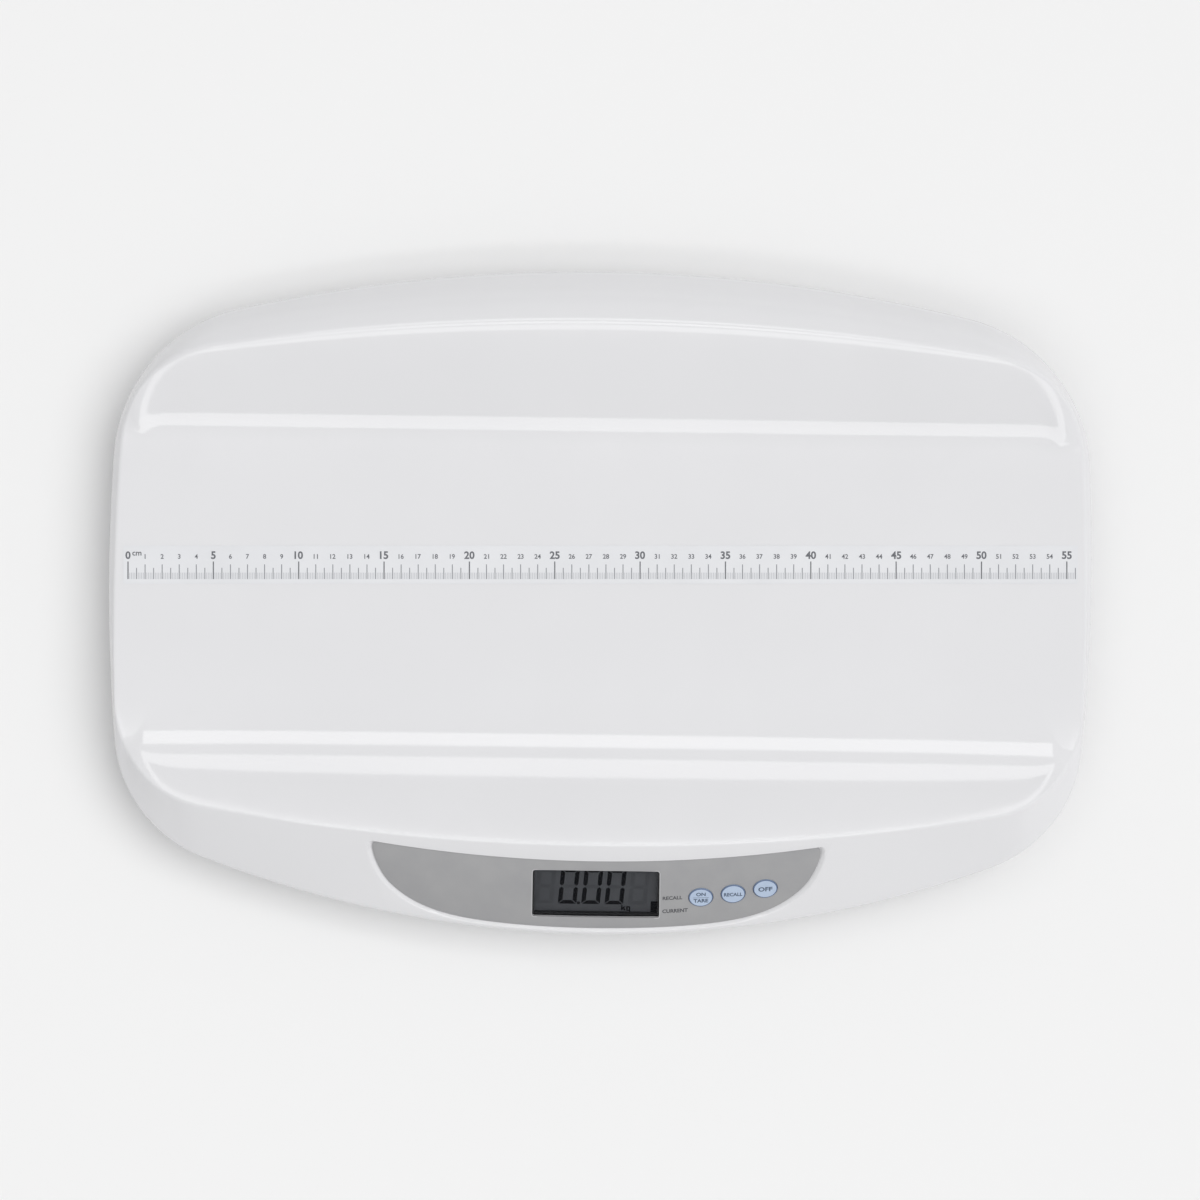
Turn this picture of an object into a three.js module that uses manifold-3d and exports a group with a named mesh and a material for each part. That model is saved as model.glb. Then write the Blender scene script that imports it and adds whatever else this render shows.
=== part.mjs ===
// Digital baby weighing scale: a dished tray with a sloping console, carried by a load cell on a base plate.
// Millimetres. X runs along the tray, Y from the console to the back, Z up. The feet stand on Z = 0.
import * as THREE from 'three';
import { mergeVertices } from 'three/addons/utils/BufferGeometryUtils.js';
import Module from 'manifold-3d';

const wasm = await Module();
wasm.setup();

// Tray plan: long arcs on all four sides, joined by corner arcs
const tray_edge = {
  half_length: 289.3,
  side_centre: 19,
  side_radius: 1142,
  back: 195,
  back_radius: 950,
  back_corner: 94,
  front: 195,
  front_radius: 659,
  front_corner: 80.6,
};
const crest_end_inset = 4.3;
const crease_end_inset = 18.3;
const floor_end_inset = 31.3;
const crest_edge = {
  half_length: tray_edge.half_length - crest_end_inset,
  side_centre: -4,
  side_radius: 1560,
  back: 162.8,
  back_radius: 1560,
  back_corner: 59,
  front: 140,
  front_radius: 1420,
  front_corner: 62,
};
const crease_edge = {
  half_length: tray_edge.half_length - crease_end_inset,
  back: 104,
  front: 88,
  corner: 12,
};
const floor_edge = {
  half_length: tray_edge.half_length - floor_end_inset,
  back: 93,
  front: 56,
  corner: 5,
};

// Tray heights and walls
const floor_height = 42;
const crest_height = 66;
const edge_height = 34;
const skirt_bottom = 26;
const tray_wall = 2.5;
const crown_share = 0.22;
const edge_round = 3;
const rim_round = 9;
const back_crest_round = 5;
const front_crest_round = 2;
const back_crease_round = 7;
const front_crease_round = 22;

// Lower shell: rim inside the skirt, a slanted bilge and a flat bottom
const shell_gap = 0.8;
const shell_wall = 2.5;
const shell_rim_top = 29.5;
const shell_bilge_top = 25;
const shell_bottom = 14;
const bilge_width = 27;
const bilge_round = 4;
const flat_margin = 9;
const shell_boss_radius = 6;
const shell_counterbore_top = 20;
const shell_boss_top = 22;
const end_screw_inset = 43.3;
const back_screw_inset = 57;
const front_screw_inset = 53;
const back_screw_share = 0.36;
const front_screw_share = 0.39;
const end_screw_x = tray_edge.half_length - end_screw_inset;
const end_screw_y = 4;
const back_screw_x = back_screw_share * tray_edge.half_length;
const back_screw_y = tray_edge.back - back_screw_inset;
const front_screw_x = front_screw_share * tray_edge.half_length;
const front_screw_y = front_screw_inset - tray_edge.front;
const shell_screw_places = [
  { name: 'left', x: -end_screw_x, y: end_screw_y },
  { name: 'right', x: end_screw_x, y: end_screw_y },
  { name: 'back_left', x: -back_screw_x, y: back_screw_y },
  { name: 'back_right', x: back_screw_x, y: back_screw_y },
  { name: 'front_left', x: -front_screw_x, y: front_screw_y },
  { name: 'front_right', x: front_screw_x, y: front_screw_y },
];

// Ribs and bosses under the tray's floor
const rib_wall = 1.6;
const rib_bottom = 34.5;
const rib_end_inset = 57.3;
const rib_half_length = tray_edge.half_length - rib_end_inset;
const rib_y = 88;
const cross_rib_places = [-196, -132, 132, 196];
const tray_boss_radius = 4.5;
const bracket_boss_radius = 5;

// Clearances and cuts
const seat_gap = 0.2;
const fit_gap = 0.3;
const overrun = 5;

// Load path: base plate, spacer, load cell, spacer, bracket
const base_half_length = 205;
const base_half_width = 108;
const base_corner = 42;
const base_bottom = 8;
const base_plate_wall = 3;
const base_rim_wall = 2.5;
const base_rim_bottom = 5.2;
const base_pad_bottom = 4;
const base_pad_margin = 4;
const base_rib_places = [-38, 38];
const stop_x = 120;
const stop_y = 86;
const spacer_height = 1.5;
const cell_length = 130;
const cell_width = 30;
const cell_height = 19;
const cell_grip = 38;
const cell_bore_radius = 6;
const cell_bore_pitch = 28;
const cell_slot_height = 6;
const bolt_offset = 9;
const coating_height = 0.9;
const coating_margin = 2;
const bracket_wall = 3;
const bracket_rail_x = 102;
const bracket_rail_inner = 57;
const bracket_rail_outer = 76;
const bracket_screw_x = 90;
const platform_travel = 0.8;

// Feet and fasteners
const foot_radius = 15;
const foot_height = 5;
const foot_bevel = 1;
const foot_stem_radius = 6;
const foot_stem_height = 2.6;
const foot_end_inset = 37;
const foot_side_inset = 34;
const foot_x = base_half_length - foot_end_inset;
const foot_y = base_half_width - foot_side_inset;
const foot_boss_radius = 19;

const shell_screw = { head_radius: 3.5, head_height: 2.2, radius: 1.5, length: 15 };
const bracket_screw = { head_radius: 3, head_height: 2, radius: 1.4, length: 5.6 };
const board_screw = { head_radius: 2.4, head_height: 1.6, radius: 1.1, length: 6 };
const cell_bolt = { head_radius: 4.25, head_height: 2.4, radius: 2.5, length: 15 };
const stop_gap = platform_travel + fit_gap + seat_gap / 2;
const stop_screw = {
  head_radius: 4,
  head_height: shell_bottom - base_bottom - base_plate_wall - stop_gap,
  radius: 2,
  length: 5,
};

// Console: depths below its surface, and places along it
const panel_half_length = 132.9;
const panel_upper = 44.2;
const panel_upper_drop = 3.4;
const panel_lower = 3.3;
const panel_tip = 28.5;
const panel_tip_power = 6.6;
const panel_depth = 1.2;
const panel_thickness = 0.5;
const pocket_depth = 2;
const pocket_floor = 2;
const pocket_end_chamfer_share = 1;
const pocket_upper_chamfer_share = 0.15;
const pocket_lower_chamfer_share = 0.6;
const pad_margin = 3;
const pad_lower_margin = 2;

const display_length = 74.3;
const display_width = 32.5;
const display_place = 24.2;
const window_thickness = 1.5;
const bezel_depth = 3.6;
const bezel_flange_depth = 5;
const bezel_flange = 0.7;
const bezel_flange_margin = 3.5;
const bezel_rim = 1;
const bezel_rail = 2;
const glass_depth = 5.9;
const glass_thickness = 2.8;
const glass_margin = 1;
const elastomer_width = 3;
const elastomer_inset = 3;
const board_depth = 15.5;
const board_thickness = 1.6;
const board_left = 62;
const board_right = 112;
const board_half_width = 16.5;
const board_cut_start = 64;
const board_cut_rise = 15;
const board_screw_places = [{ x: -54, rise: 11.5 }, { x: 89, rise: 11.5 }];
const board_boss_radius = 3.2;
const processor_size = 12;
const processor_height = 1.4;
const processor_x = 8;

// Keys
const keys = [
  { name: 'on_tare', x: 61.9, place: 20.2 },
  { name: 'recall', x: 80.9, place: 20.5 },
  { name: 'off', x: 99.8, place: 21.2 },
];
const key_half_length = 7.1;
const key_half_width = 6.35;
const key_proud = 0.6;
const key_edge_round = 0.4;
const key_flange = 1.1;
const key_flange_height = 0.8;
const key_stem_radius = 2;
const key_travel = 0.5;
const switch_size = 6;
const switch_height = 3.4;
const plunger_radius = 1.6;
const plunger_out = 1;
const plunger_in = 1.2;

// Batteries, in two rows under the back wall
const battery_radius = 7.1;
const battery_length = 49.5;
const battery_shoulder = 0.8;
const nub_radius = 2.75;
const nub_length = 1;
const row_pitch = 15;
const bay_centre = 144;
const bay_gap = 0.5;
const bay_wall = 1.8;
const bay_side_wall = 3.6;
const contact_wall = 0.5;
const contact_size = 11;
const contact_tab_rise = 2;
const tab_width = 4;
const spring_length = 6.5;
const spring_radius = 4.4;
const spring_tip_radius = 2.8;
const spring_wire = 0.45;
const spring_turns = 3;

// Battery cover, which slides out to the back
const cover_wall = 1.5;
const cover_flange = 1.2;
const cover_lip_top = 22.5;
const cover_track = 1.6;

// Printed ruler on the floor
const ruler_length = 559.4;
const ruler_width = 22.4;
const ruler_thickness = 0.25;
const ruler_corner = 1;
const ruler_y = 22.5;
const ruler_turn = 0.8;

// Leads
const lead_radius = 1.6;
const battery_lead_radius = 1.2;
const lead_bend = 6;

// How finely curves are divided
const loop_counts = { front: 9, corner: 8, side: 3, back: 8 };
const round_steps = 3;
const small_steps = 2;
const circle_steps = 20;
const screw_steps = 10;
const oval_steps = 24;
const panel_steps = 30;
const shape_steps = 6;
const wire_steps = 3;
const turn_steps = 8;
const lead_steps = 16;

const materials = {
  tray_white: new THREE.MeshStandardMaterial({ color: 0xf1f1f3, roughness: 0.22, metalness: 0 }),
  shell_white: new THREE.MeshStandardMaterial({ color: 0xe9e9ec, roughness: 0.42, metalness: 0 }),
  base_grey: new THREE.MeshStandardMaterial({ color: 0xd6d7da, roughness: 0.5, metalness: 0 }),
  rubber: new THREE.MeshStandardMaterial({ color: 0x3a3b3e, roughness: 0.85, metalness: 0 }),
  panel_grey: new THREE.MeshStandardMaterial({ color: 0xa4a5a8, roughness: 0.4, metalness: 0 }),
  key_blue: new THREE.MeshStandardMaterial({ color: 0xc3d6ee, roughness: 0.45, metalness: 0 }),
  label: new THREE.MeshStandardMaterial({ color: 0xf0f2f5, roughness: 0.35, metalness: 0 }),
  window: new THREE.MeshStandardMaterial({ color: 0x5a5c60, roughness: 0.08, metalness: 0 }),
  bezel: new THREE.MeshStandardMaterial({ color: 0x2d2f32, roughness: 0.6, metalness: 0 }),
  glass: new THREE.MeshStandardMaterial({ color: 0x45484c, roughness: 0.15, metalness: 0 }),
  silicone: new THREE.MeshStandardMaterial({ color: 0xd9d6cf, roughness: 0.7, metalness: 0 }),
  board: new THREE.MeshStandardMaterial({ color: 0x1f6b3a, roughness: 0.45, metalness: 0 }),
  chip: new THREE.MeshStandardMaterial({ color: 0x1c1c1e, roughness: 0.55, metalness: 0 }),
  aluminium: new THREE.MeshStandardMaterial({ color: 0xb9bcc0, roughness: 0.35, metalness: 1 }),
  steel: new THREE.MeshStandardMaterial({ color: 0x9da0a4, roughness: 0.35, metalness: 1 }),
  battery: new THREE.MeshStandardMaterial({ color: 0x3c4a5e, roughness: 0.35, metalness: 0.3 }),
  lead: new THREE.MeshStandardMaterial({ color: 0x55585c, roughness: 0.6, metalness: 0 }),
};

// Solids
function toSolid(geometry) {
  const bare = geometry.clone();
  bare.deleteAttribute('normal');
  bare.deleteAttribute('uv');
  const merged = mergeVertices(bare);
  const index = merged.index.array;
  const kept = [];
  for (let i = 0; i < index.length; i += 3) {
    const [a, b, c] = [index[i], index[i + 1], index[i + 2]];
    if (a !== b && b !== c && c !== a) kept.push(a, b, c);
  }
  const mesh = new wasm.Mesh({
    numProp: 3,
    vertProperties: new Float32Array(merged.attributes.position.array),
    triVerts: new Uint32Array(kept),
  });
  return new wasm.Manifold(mesh);
}

function toGeometry(solid) {
  const mesh = solid.getMesh();
  const geometry = new THREE.BufferGeometry();
  geometry.setAttribute('position', new THREE.BufferAttribute(mesh.vertProperties, 3));
  geometry.setIndex(new THREE.BufferAttribute(mesh.triVerts, 1));
  const faceted = geometry.toNonIndexed();
  faceted.computeVertexNormals();
  return faceted;
}

function part(name, shape, material) {
  const geometry = shape.isBufferGeometry ? shape : toGeometry(shape);
  const mesh = new THREE.Mesh(geometry, material);
  mesh.name = name;
  return mesh;
}

function placed(geometry, x, y, z) {
  geometry.translate(x, y, z);
  return geometry;
}

function block(x0, x1, y0, y1, z0, z1) {
  const geometry = new THREE.BoxGeometry(x1 - x0, y1 - y0, z1 - z0);
  return placed(geometry, (x0 + x1) / 2, (y0 + y1) / 2, (z0 + z1) / 2);
}

function post(radius, z0, z1, x, y, steps = circle_steps) {
  const geometry = new THREE.CylinderGeometry(radius, radius, z1 - z0, steps);
  geometry.rotateX(Math.PI / 2);
  return placed(geometry, x, y, (z0 + z1) / 2);
}

function prism(shape, z0, z1, steps = shape_steps) {
  const settings = { depth: z1 - z0, bevelEnabled: false, curveSegments: steps };
  return placed(new THREE.ExtrudeGeometry(shape, settings), 0, 0, z0);
}

function ovalShape(half_length, half_width) {
  const points = [];
  for (let i = 0; i < oval_steps; i += 1) {
    const angle = (2 * Math.PI * i) / oval_steps;
    points.push(new THREE.Vector2(half_length * Math.cos(angle), half_width * Math.sin(angle)));
  }
  return new THREE.Shape(points);
}

function roundedShape(half_length, half_width, radius) {
  const shape = new THREE.Shape();
  shape.absarc(half_length - radius, half_width - radius, radius, 0, Math.PI / 2);
  shape.absarc(radius - half_length, half_width - radius, radius, Math.PI / 2, Math.PI);
  shape.absarc(radius - half_length, radius - half_width, radius, Math.PI, 1.5 * Math.PI);
  shape.absarc(half_length - radius, radius - half_width, radius, 1.5 * Math.PI, 2 * Math.PI);
  shape.closePath();
  return shape;
}

// A closed skin through rings of points, from the first ring's cap to the last one's
function ringSolid(rings) {
  const count = rings[0].length;
  const positions = [];
  const index = [];
  for (const ring of rings) {
    for (const point of ring) positions.push(point.x, point.y, point.z);
  }
  for (let j = 0; j + 1 < rings.length; j += 1) {
    for (let i = 0; i < count; i += 1) {
      const a = j * count + i;
      const b = j * count + ((i + 1) % count);
      index.push(a, b, b + count, a, b + count, a + count);
    }
  }
  const last = (rings.length - 1) * count;
  for (const [start, ring, turned] of [[0, rings[0], true], [last, rings[rings.length - 1], false]]) {
    const centre = new THREE.Vector3();
    for (const point of ring) centre.addScaledVector(point, 1 / count);
    const hub = positions.length / 3;
    positions.push(centre.x, centre.y, centre.z);
    for (let i = 0; i < count; i += 1) {
      const a = start + i;
      const b = start + ((i + 1) % count);
      if (turned) index.push(b, a, hub);
      else index.push(a, b, hub);
    }
  }
  const geometry = new THREE.BufferGeometry();
  geometry.setAttribute('position', new THREE.Float32BufferAttribute(positions, 3));
  geometry.setIndex(index);
  return toSolid(geometry);
}

// Plan outlines, anticlockwise from the middle of the front, each point with its outward normal
function arcPoints(centre, radius, from, to, steps) {
  const points = [];
  for (let i = 0; i < steps; i += 1) {
    const angle = from + ((to - from) * i) / steps;
    const normal = new THREE.Vector2(Math.cos(angle), Math.sin(angle));
    points.push({ place: centre.clone().addScaledVector(normal, radius), normal });
  }
  return points;
}

function linePoints(start, end, normal, steps) {
  const points = [];
  for (let i = 0; i < steps; i += 1) points.push({ place: start.clone().lerp(end, i / steps), normal });
  return points;
}

function mirrored(half) {
  const left = half.slice(1, -1).reverse().map(({ place, normal }) => ({
    place: new THREE.Vector2(-place.x, place.y),
    normal: new THREE.Vector2(-normal.x, normal.y),
  }));
  return [...half, ...left];
}

function cornerCentre(long, long_radius, side, side_radius, corner_radius, turn) {
  const reach_long = long_radius - corner_radius;
  const reach_side = side_radius - corner_radius;
  const between = side.clone().sub(long);
  const distance = between.length();
  const along = (reach_long ** 2 - reach_side ** 2 + distance ** 2) / (2 * distance);
  const across = Math.sqrt(reach_long ** 2 - along ** 2);
  const unit = between.divideScalar(distance);
  const normal = new THREE.Vector2(-unit.y, unit.x);
  return long.clone().addScaledVector(unit, along).addScaledVector(normal, turn * across);
}

function frontArc(edge) {
  const centre = new THREE.Vector2(0, edge.front_radius - edge.front);
  const side = new THREE.Vector2(edge.half_length - edge.side_radius, edge.side_centre);
  const corner = cornerCentre(centre, edge.front_radius, side, edge.side_radius, edge.front_corner, 1);
  const end = corner.clone().sub(centre).angle() - 2 * Math.PI;
  return { centre, corner, end, half_angle: end + Math.PI / 2 };
}

function barrelLoop(edge) {
  const { centre: front, corner: front_corner, end: front_end } = frontArc(edge);
  const side = new THREE.Vector2(edge.half_length - edge.side_radius, edge.side_centre);
  const back = new THREE.Vector2(0, edge.back - edge.back_radius);
  const back_corner = cornerCentre(back, edge.back_radius, side, edge.side_radius, edge.back_corner, -1);
  const side_start = Math.atan2(front_corner.y - side.y, front_corner.x - side.x);
  const side_end = Math.atan2(back_corner.y - side.y, back_corner.x - side.x);
  const back_start = Math.atan2(back_corner.y - back.y, back_corner.x - back.x);
  const half = [
    ...arcPoints(front, edge.front_radius, -Math.PI / 2, front_end, loop_counts.front),
    ...arcPoints(front_corner, edge.front_corner, front_end, side_start, loop_counts.corner),
    ...arcPoints(side, edge.side_radius, side_start, side_end, loop_counts.side),
    ...arcPoints(back_corner, edge.back_corner, side_end, back_start, loop_counts.corner),
    ...arcPoints(back, edge.back_radius, back_start, Math.PI / 2, loop_counts.back),
    { place: new THREE.Vector2(0, edge.back), normal: new THREE.Vector2(0, 1) },
  ];
  return mirrored(half);
}

function boxLoop(edge) {
  const { half_length, back, front, corner } = edge;
  const inner = half_length - corner;
  const spot = (x, y) => new THREE.Vector2(x, y);
  const side_start = spot(half_length, corner - front);
  const side_end = spot(half_length, back - corner);
  const half = [
    ...linePoints(spot(0, -front), spot(inner, -front), spot(0, -1), loop_counts.front),
    ...arcPoints(spot(inner, corner - front), corner, -Math.PI / 2, 0, loop_counts.corner),
    ...linePoints(side_start, side_end, spot(1, 0), loop_counts.side),
    ...arcPoints(spot(inner, back - corner), corner, 0, Math.PI / 2, loop_counts.corner),
    ...linePoints(spot(inner, back), spot(0, back), spot(0, 1), loop_counts.back),
    { place: spot(0, back), normal: spot(0, 1) },
  ];
  return mirrored(half);
}

// A corner of a section, rounded by a curve that starts and ends at a distance of reach from it
function roundedCorner(before, corner, after, reach, steps) {
  const limit_share = 0.45;
  const to_before = before.clone().sub(corner);
  const to_after = after.clone().sub(corner);
  const start_reach = Math.min(reach, limit_share * to_before.length());
  const end_reach = Math.min(reach, limit_share * to_after.length());
  const start = corner.clone().addScaledVector(to_before.normalize(), start_reach);
  const end = corner.clone().addScaledVector(to_after.normalize(), end_reach);
  return new THREE.QuadraticBezierCurve3(start, corner, end).getPoints(steps);
}

// Rings from one section per plan point, and the same rings moved inwards by a depth
function ringsOf(sections) {
  return sections[0].map((_, j) => sections.map((section) => section[j]));
}

function sunkRings(rings, depth) {
  const count = rings[0].length;
  return rings.map((ring, j) => ring.map((point, i) => {
    const along = ring[(i + 1) % count].clone().sub(ring[(i + count - 1) % count]);
    const upper = rings[Math.min(j + 1, rings.length - 1)][i];
    const lower = rings[Math.max(j - 1, 0)][i];
    const normal = along.cross(upper.clone().sub(lower)).normalize();
    return point.clone().addScaledVector(normal, -depth);
  }));
}

function ringAtHeight(ring, height) {
  return ring.map((point) => new THREE.Vector3(point.x, point.y, height));
}

// Tray surface
function trayHeight(y) {
  const rise = crest_height - floor_height;
  const back_slope = rise / (crest_edge.back - crease_edge.back);
  const front_slope = rise / (crest_edge.front - crease_edge.front);
  const back_way = Math.max(0, y - crease_edge.back);
  const front_way = Math.max(0, -y - crease_edge.front);
  return floor_height + back_slope * back_way + front_slope * front_way;
}

function at(place, height) {
  return new THREE.Vector3(place.x, place.y, height);
}

function traySection(edge, crest, crease, floor) {
  const bottom = at(edge.place, skirt_bottom);
  const rim = at(edge.place, edge_height);
  const top = at(crest.place, trayHeight(crest.place.y));
  const foot = at(crease.place, trayHeight(crease.place.y));
  const flat = at(floor.place, floor_height);
  const backness = THREE.MathUtils.smoothstep(crest.place.y, crease_edge.back, crest_edge.back);
  const middle = rim.clone().lerp(top, 0.5);
  middle.z += crown_share * (top.z - rim.z) * backness;
  const crest_round = THREE.MathUtils.lerp(front_crest_round, back_crest_round, backness);
  const crease_round = crease.place.y > 0 ? back_crease_round : front_crease_round;
  return [
    bottom,
    ...roundedCorner(bottom, rim, middle, edge_round, round_steps),
    ...roundedCorner(rim, middle, top, rim_round, round_steps),
    ...roundedCorner(middle, top, foot, crest_round, round_steps),
    ...roundedCorner(top, foot, flat, crease_round, round_steps),
    flat,
  ];
}

function trayRings() {
  const edge = barrelLoop(tray_edge);
  const crest = barrelLoop(crest_edge);
  const crease = boxLoop(crease_edge);
  const floor = boxLoop(floor_edge);
  return ringsOf(edge.map((point, i) => traySection(point, crest[i], crease[i], floor[i])));
}

// All that lies under the tray's surface at a depth, down to a flat bottom
function underTray(depth, bottom) {
  const rings = sunkRings(trayRings(), depth);
  return ringSolid([ringAtHeight(rings[0], bottom), ...rings.slice(1)]);
}

// Console surface: straight lines from the tray's edge to its crest
const edge_front = frontArc(tray_edge);
const crest_front = frontArc(crest_edge);

function consoleSpan(share) {
  const arc = (front, radius) => {
    const angle = share * front.half_angle - Math.PI / 2;
    const direction = new THREE.Vector2(Math.cos(angle), Math.sin(angle));
    return front.centre.clone().addScaledVector(direction, radius);
  };
  const edge = arc(edge_front, tray_edge.front_radius);
  const crest = arc(crest_front, crest_edge.front_radius);
  const width = edge.distanceTo(crest);
  return { edge: at(edge, edge_height), crest: at(crest, trayHeight(crest.y)), width };
}

function consoleShare(x) {
  return Math.asin(x / tray_edge.front_radius) / edge_front.half_angle;
}

function consoleFrame(x, distance) {
  const share = consoleShare(x);
  const small_share = 0.001;
  const pointAt = (along) => {
    const span = consoleSpan(along);
    return span.edge.clone().lerp(span.crest, distance / span.width);
  };
  const span = consoleSpan(share);
  const origin = pointAt(share);
  const up_slope = span.crest.clone().sub(span.edge).normalize();
  const sideways = pointAt(share + small_share).sub(pointAt(share - small_share)).normalize();
  const normal = sideways.clone().cross(up_slope).normalize();
  return { origin, up_slope, sideways: up_slope.clone().cross(normal), normal };
}

// A sheet with the panel's outline, between two depths, whose outline may grow at each face
function panelSheet(outer, inner) {
  const rings = [];
  for (let i = 0; i <= panel_steps; i += 1) {
    const share = Math.sin(Math.PI * (i / panel_steps - 0.5));
    const upper = panel_upper - panel_upper_drop * share ** 2;
    const lower = panel_lower + (panel_tip - panel_lower) * Math.abs(share) ** panel_tip_power;
    const cornersAt = ({ depth, grow, grow_upper = grow, grow_lower = grow }) => (
      [upper + grow_upper, lower - grow_lower].map((distance) => {
        const frame = consoleFrame(share * (panel_half_length + grow), distance);
        return frame.origin.addScaledVector(frame.normal, -depth);
      })
    );
    const [outer_upper, outer_lower] = cornersAt(outer);
    const [inner_upper, inner_lower] = cornersAt(inner);
    rings.push([outer_upper, outer_lower, inner_lower, inner_upper]);
  }
  return ringSolid(rings);
}

// The display's own flat frame, at the middle of the console
const display_frame = consoleFrame(0, display_place);
const display_matrix = new THREE.Matrix4().makeBasis(
  display_frame.sideways,
  display_frame.up_slope,
  display_frame.normal,
).setPosition(display_frame.origin);
const display_inverse = display_matrix.clone().invert();

function inDisplay(x, distance) {
  const frame = consoleFrame(x, distance);
  const place = frame.origin.applyMatrix4(display_inverse);
  const normal = frame.normal.transformDirection(display_inverse);
  return { place, turn: new THREE.Quaternion().setFromUnitVectors(new THREE.Vector3(0, 0, 1), normal) };
}

function fromDisplay(geometry) {
  return toSolid(geometry.applyMatrix4(display_matrix));
}

function displayBlock(half_length, half_width, depth0, depth1) {
  return block(-half_length, half_length, -half_width, half_width, -depth1, -depth0);
}

function keyOval(key, grow, depth0, depth1) {
  const { place, turn } = inDisplay(key.x, key.place);
  const geometry = prism(ovalShape(key_half_length + grow, key_half_width + grow), -depth1, -depth0);
  geometry.applyQuaternion(turn);
  return placed(geometry, place.x, place.y, place.z);
}

const board_top = -board_depth;
const board_bottom = board_top - board_thickness;
const switch_top = board_top + seat_gap + switch_height;
const plunger_top = switch_top + plunger_out;

// Load path heights
const base_top = base_bottom + base_plate_wall;
const cell_bottom = base_top + spacer_height;
const cell_top = cell_bottom + cell_height;
const bracket_bottom = cell_top + spacer_height;
const bracket_top = bracket_bottom + bracket_wall;
const cell_end = cell_length / 2 - cell_grip / 2;
const bolt_places = [cell_end - bolt_offset, cell_end + bolt_offset];
const bracket_screw_y = (bracket_rail_inner + bracket_rail_outer) / 2;

const corners = [
  { name: 'front_left', x: -1, y: -1 },
  { name: 'front_right', x: 1, y: -1 },
  { name: 'back_left', x: -1, y: 1 },
  { name: 'back_right', x: 1, y: 1 },
];

function screwGeometry(screw) {
  const profile = [
    [0, 0],
    [screw.head_radius, 0],
    [screw.head_radius, screw.head_height],
    [screw.radius, screw.head_height],
    [screw.radius, screw.head_height + screw.length],
    [0, screw.head_height + screw.length],
  ];
  const geometry = new THREE.LatheGeometry(profile.map(([r, h]) => new THREE.Vector2(r, h)), screw_steps);
  return geometry.rotateX(Math.PI / 2);
}

function screwPart(name, screw, x, y, z, head_up = false) {
  const mesh = part(name, toSolid(screwGeometry(screw)), materials.steel);
  mesh.position.set(x, y, z);
  if (head_up) mesh.rotation.x = Math.PI;
  return mesh;
}

// Tray
function trayRibs() {
  const top = floor_height - tray_wall / 2;
  const ribs = [-rib_y, rib_y].map((y) => (
    block(-rib_half_length, rib_half_length, y - rib_wall / 2, y + rib_wall / 2, rib_bottom, top)
  ));
  for (const x of cross_rib_places) {
    ribs.push(block(x - rib_wall / 2, x + rib_wall / 2, -rib_y, rib_y, rib_bottom, top));
  }
  return ribs.map(toSolid);
}

function trayBosses() {
  const bosses = shell_screw_places.map(({ x, y }) => (
    toSolid(post(tray_boss_radius, shell_boss_top + seat_gap, crest_height, x, y, screw_steps))
  ));
  for (const { x, y } of corners) {
    const boss_x = x * bracket_screw_x;
    const boss_y = y * bracket_screw_y;
    const foot = bracket_top + seat_gap;
    bosses.push(toSolid(post(bracket_boss_radius, foot, floor_height, boss_x, boss_y, screw_steps)));
  }
  return bosses;
}

function trayPilots() {
  const pilots = shell_screw_places.map(({ x, y }) => {
    const start = shell_boss_top - overrun;
    const end = shell_counterbore_top + shell_screw.length;
    return toSolid(post(shell_screw.radius + fit_gap, start, end, x, y, screw_steps));
  });
  for (const { x, y } of corners) {
    const hole = bracket_screw.radius + fit_gap;
    const end = bracket_bottom + bracket_screw.length + fit_gap;
    const pilot_x = x * bracket_screw_x;
    const pilot_y = y * bracket_screw_y;
    pilots.push(toSolid(post(hole, bracket_bottom, end, pilot_x, pilot_y, screw_steps)));
  }
  return pilots;
}

function boardBoss(spot, radius, end) {
  const { place } = inDisplay(spot.x, display_place);
  const start = place.z - pocket_depth - pocket_floor / 2;
  return fromDisplay(post(radius, end, start, spot.x, spot.rise, screw_steps));
}

function buildTray() {
  let tray = underTray(0, skirt_bottom).subtract(underTray(tray_wall, skirt_bottom - overrun));
  const middle = underTray(tray_wall / 2, shell_bottom);
  for (const boss of trayBosses()) tray = tray.add(boss.intersect(middle));
  for (const rib of trayRibs()) tray = tray.add(rib);
  const pad_top = { depth: tray_wall / 2, grow: pad_margin, grow_lower: pad_lower_margin };
  const pad_bottom = { depth: pocket_depth + pocket_floor, grow: pad_margin, grow_lower: pad_lower_margin };
  tray = tray.add(panelSheet(pad_top, pad_bottom));
  for (const spot of board_screw_places) {
    tray = tray.add(boardBoss(spot, board_boss_radius, board_top + seat_gap));
  }
  const rise = pocket_depth + overrun;
  const mouth = {
    depth: -overrun,
    grow: fit_gap + rise * pocket_end_chamfer_share,
    grow_upper: fit_gap + rise * pocket_upper_chamfer_share,
    grow_lower: fit_gap + rise * pocket_lower_chamfer_share,
  };
  tray = tray.subtract(panelSheet(mouth, { depth: pocket_depth, grow: fit_gap }));
  const half_length = display_length / 2 + fit_gap;
  const half_width = display_width / 2 + fit_gap;
  tray = tray.subtract(fromDisplay(displayBlock(half_length, half_width, -overrun, bezel_flange_depth)));
  const key_hole_bottom = pocket_depth + pocket_floor + overrun / 2;
  for (const key of keys) {
    tray = tray.subtract(fromDisplay(keyOval(key, fit_gap, -overrun, key_hole_bottom)));
  }
  for (const pilot of trayPilots()) tray = tray.subtract(pilot);
  for (const spot of board_screw_places) {
    tray = tray.subtract(boardPilot(spot));
  }
  return part('tray', tray, materials.tray_white);
}

function boardPilot(spot) {
  const top = board_bottom + board_screw.length + fit_gap;
  const hole = board_screw.radius + fit_gap;
  return fromDisplay(post(hole, board_bottom - overrun, top, spot.x, spot.rise, screw_steps));
}

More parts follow.
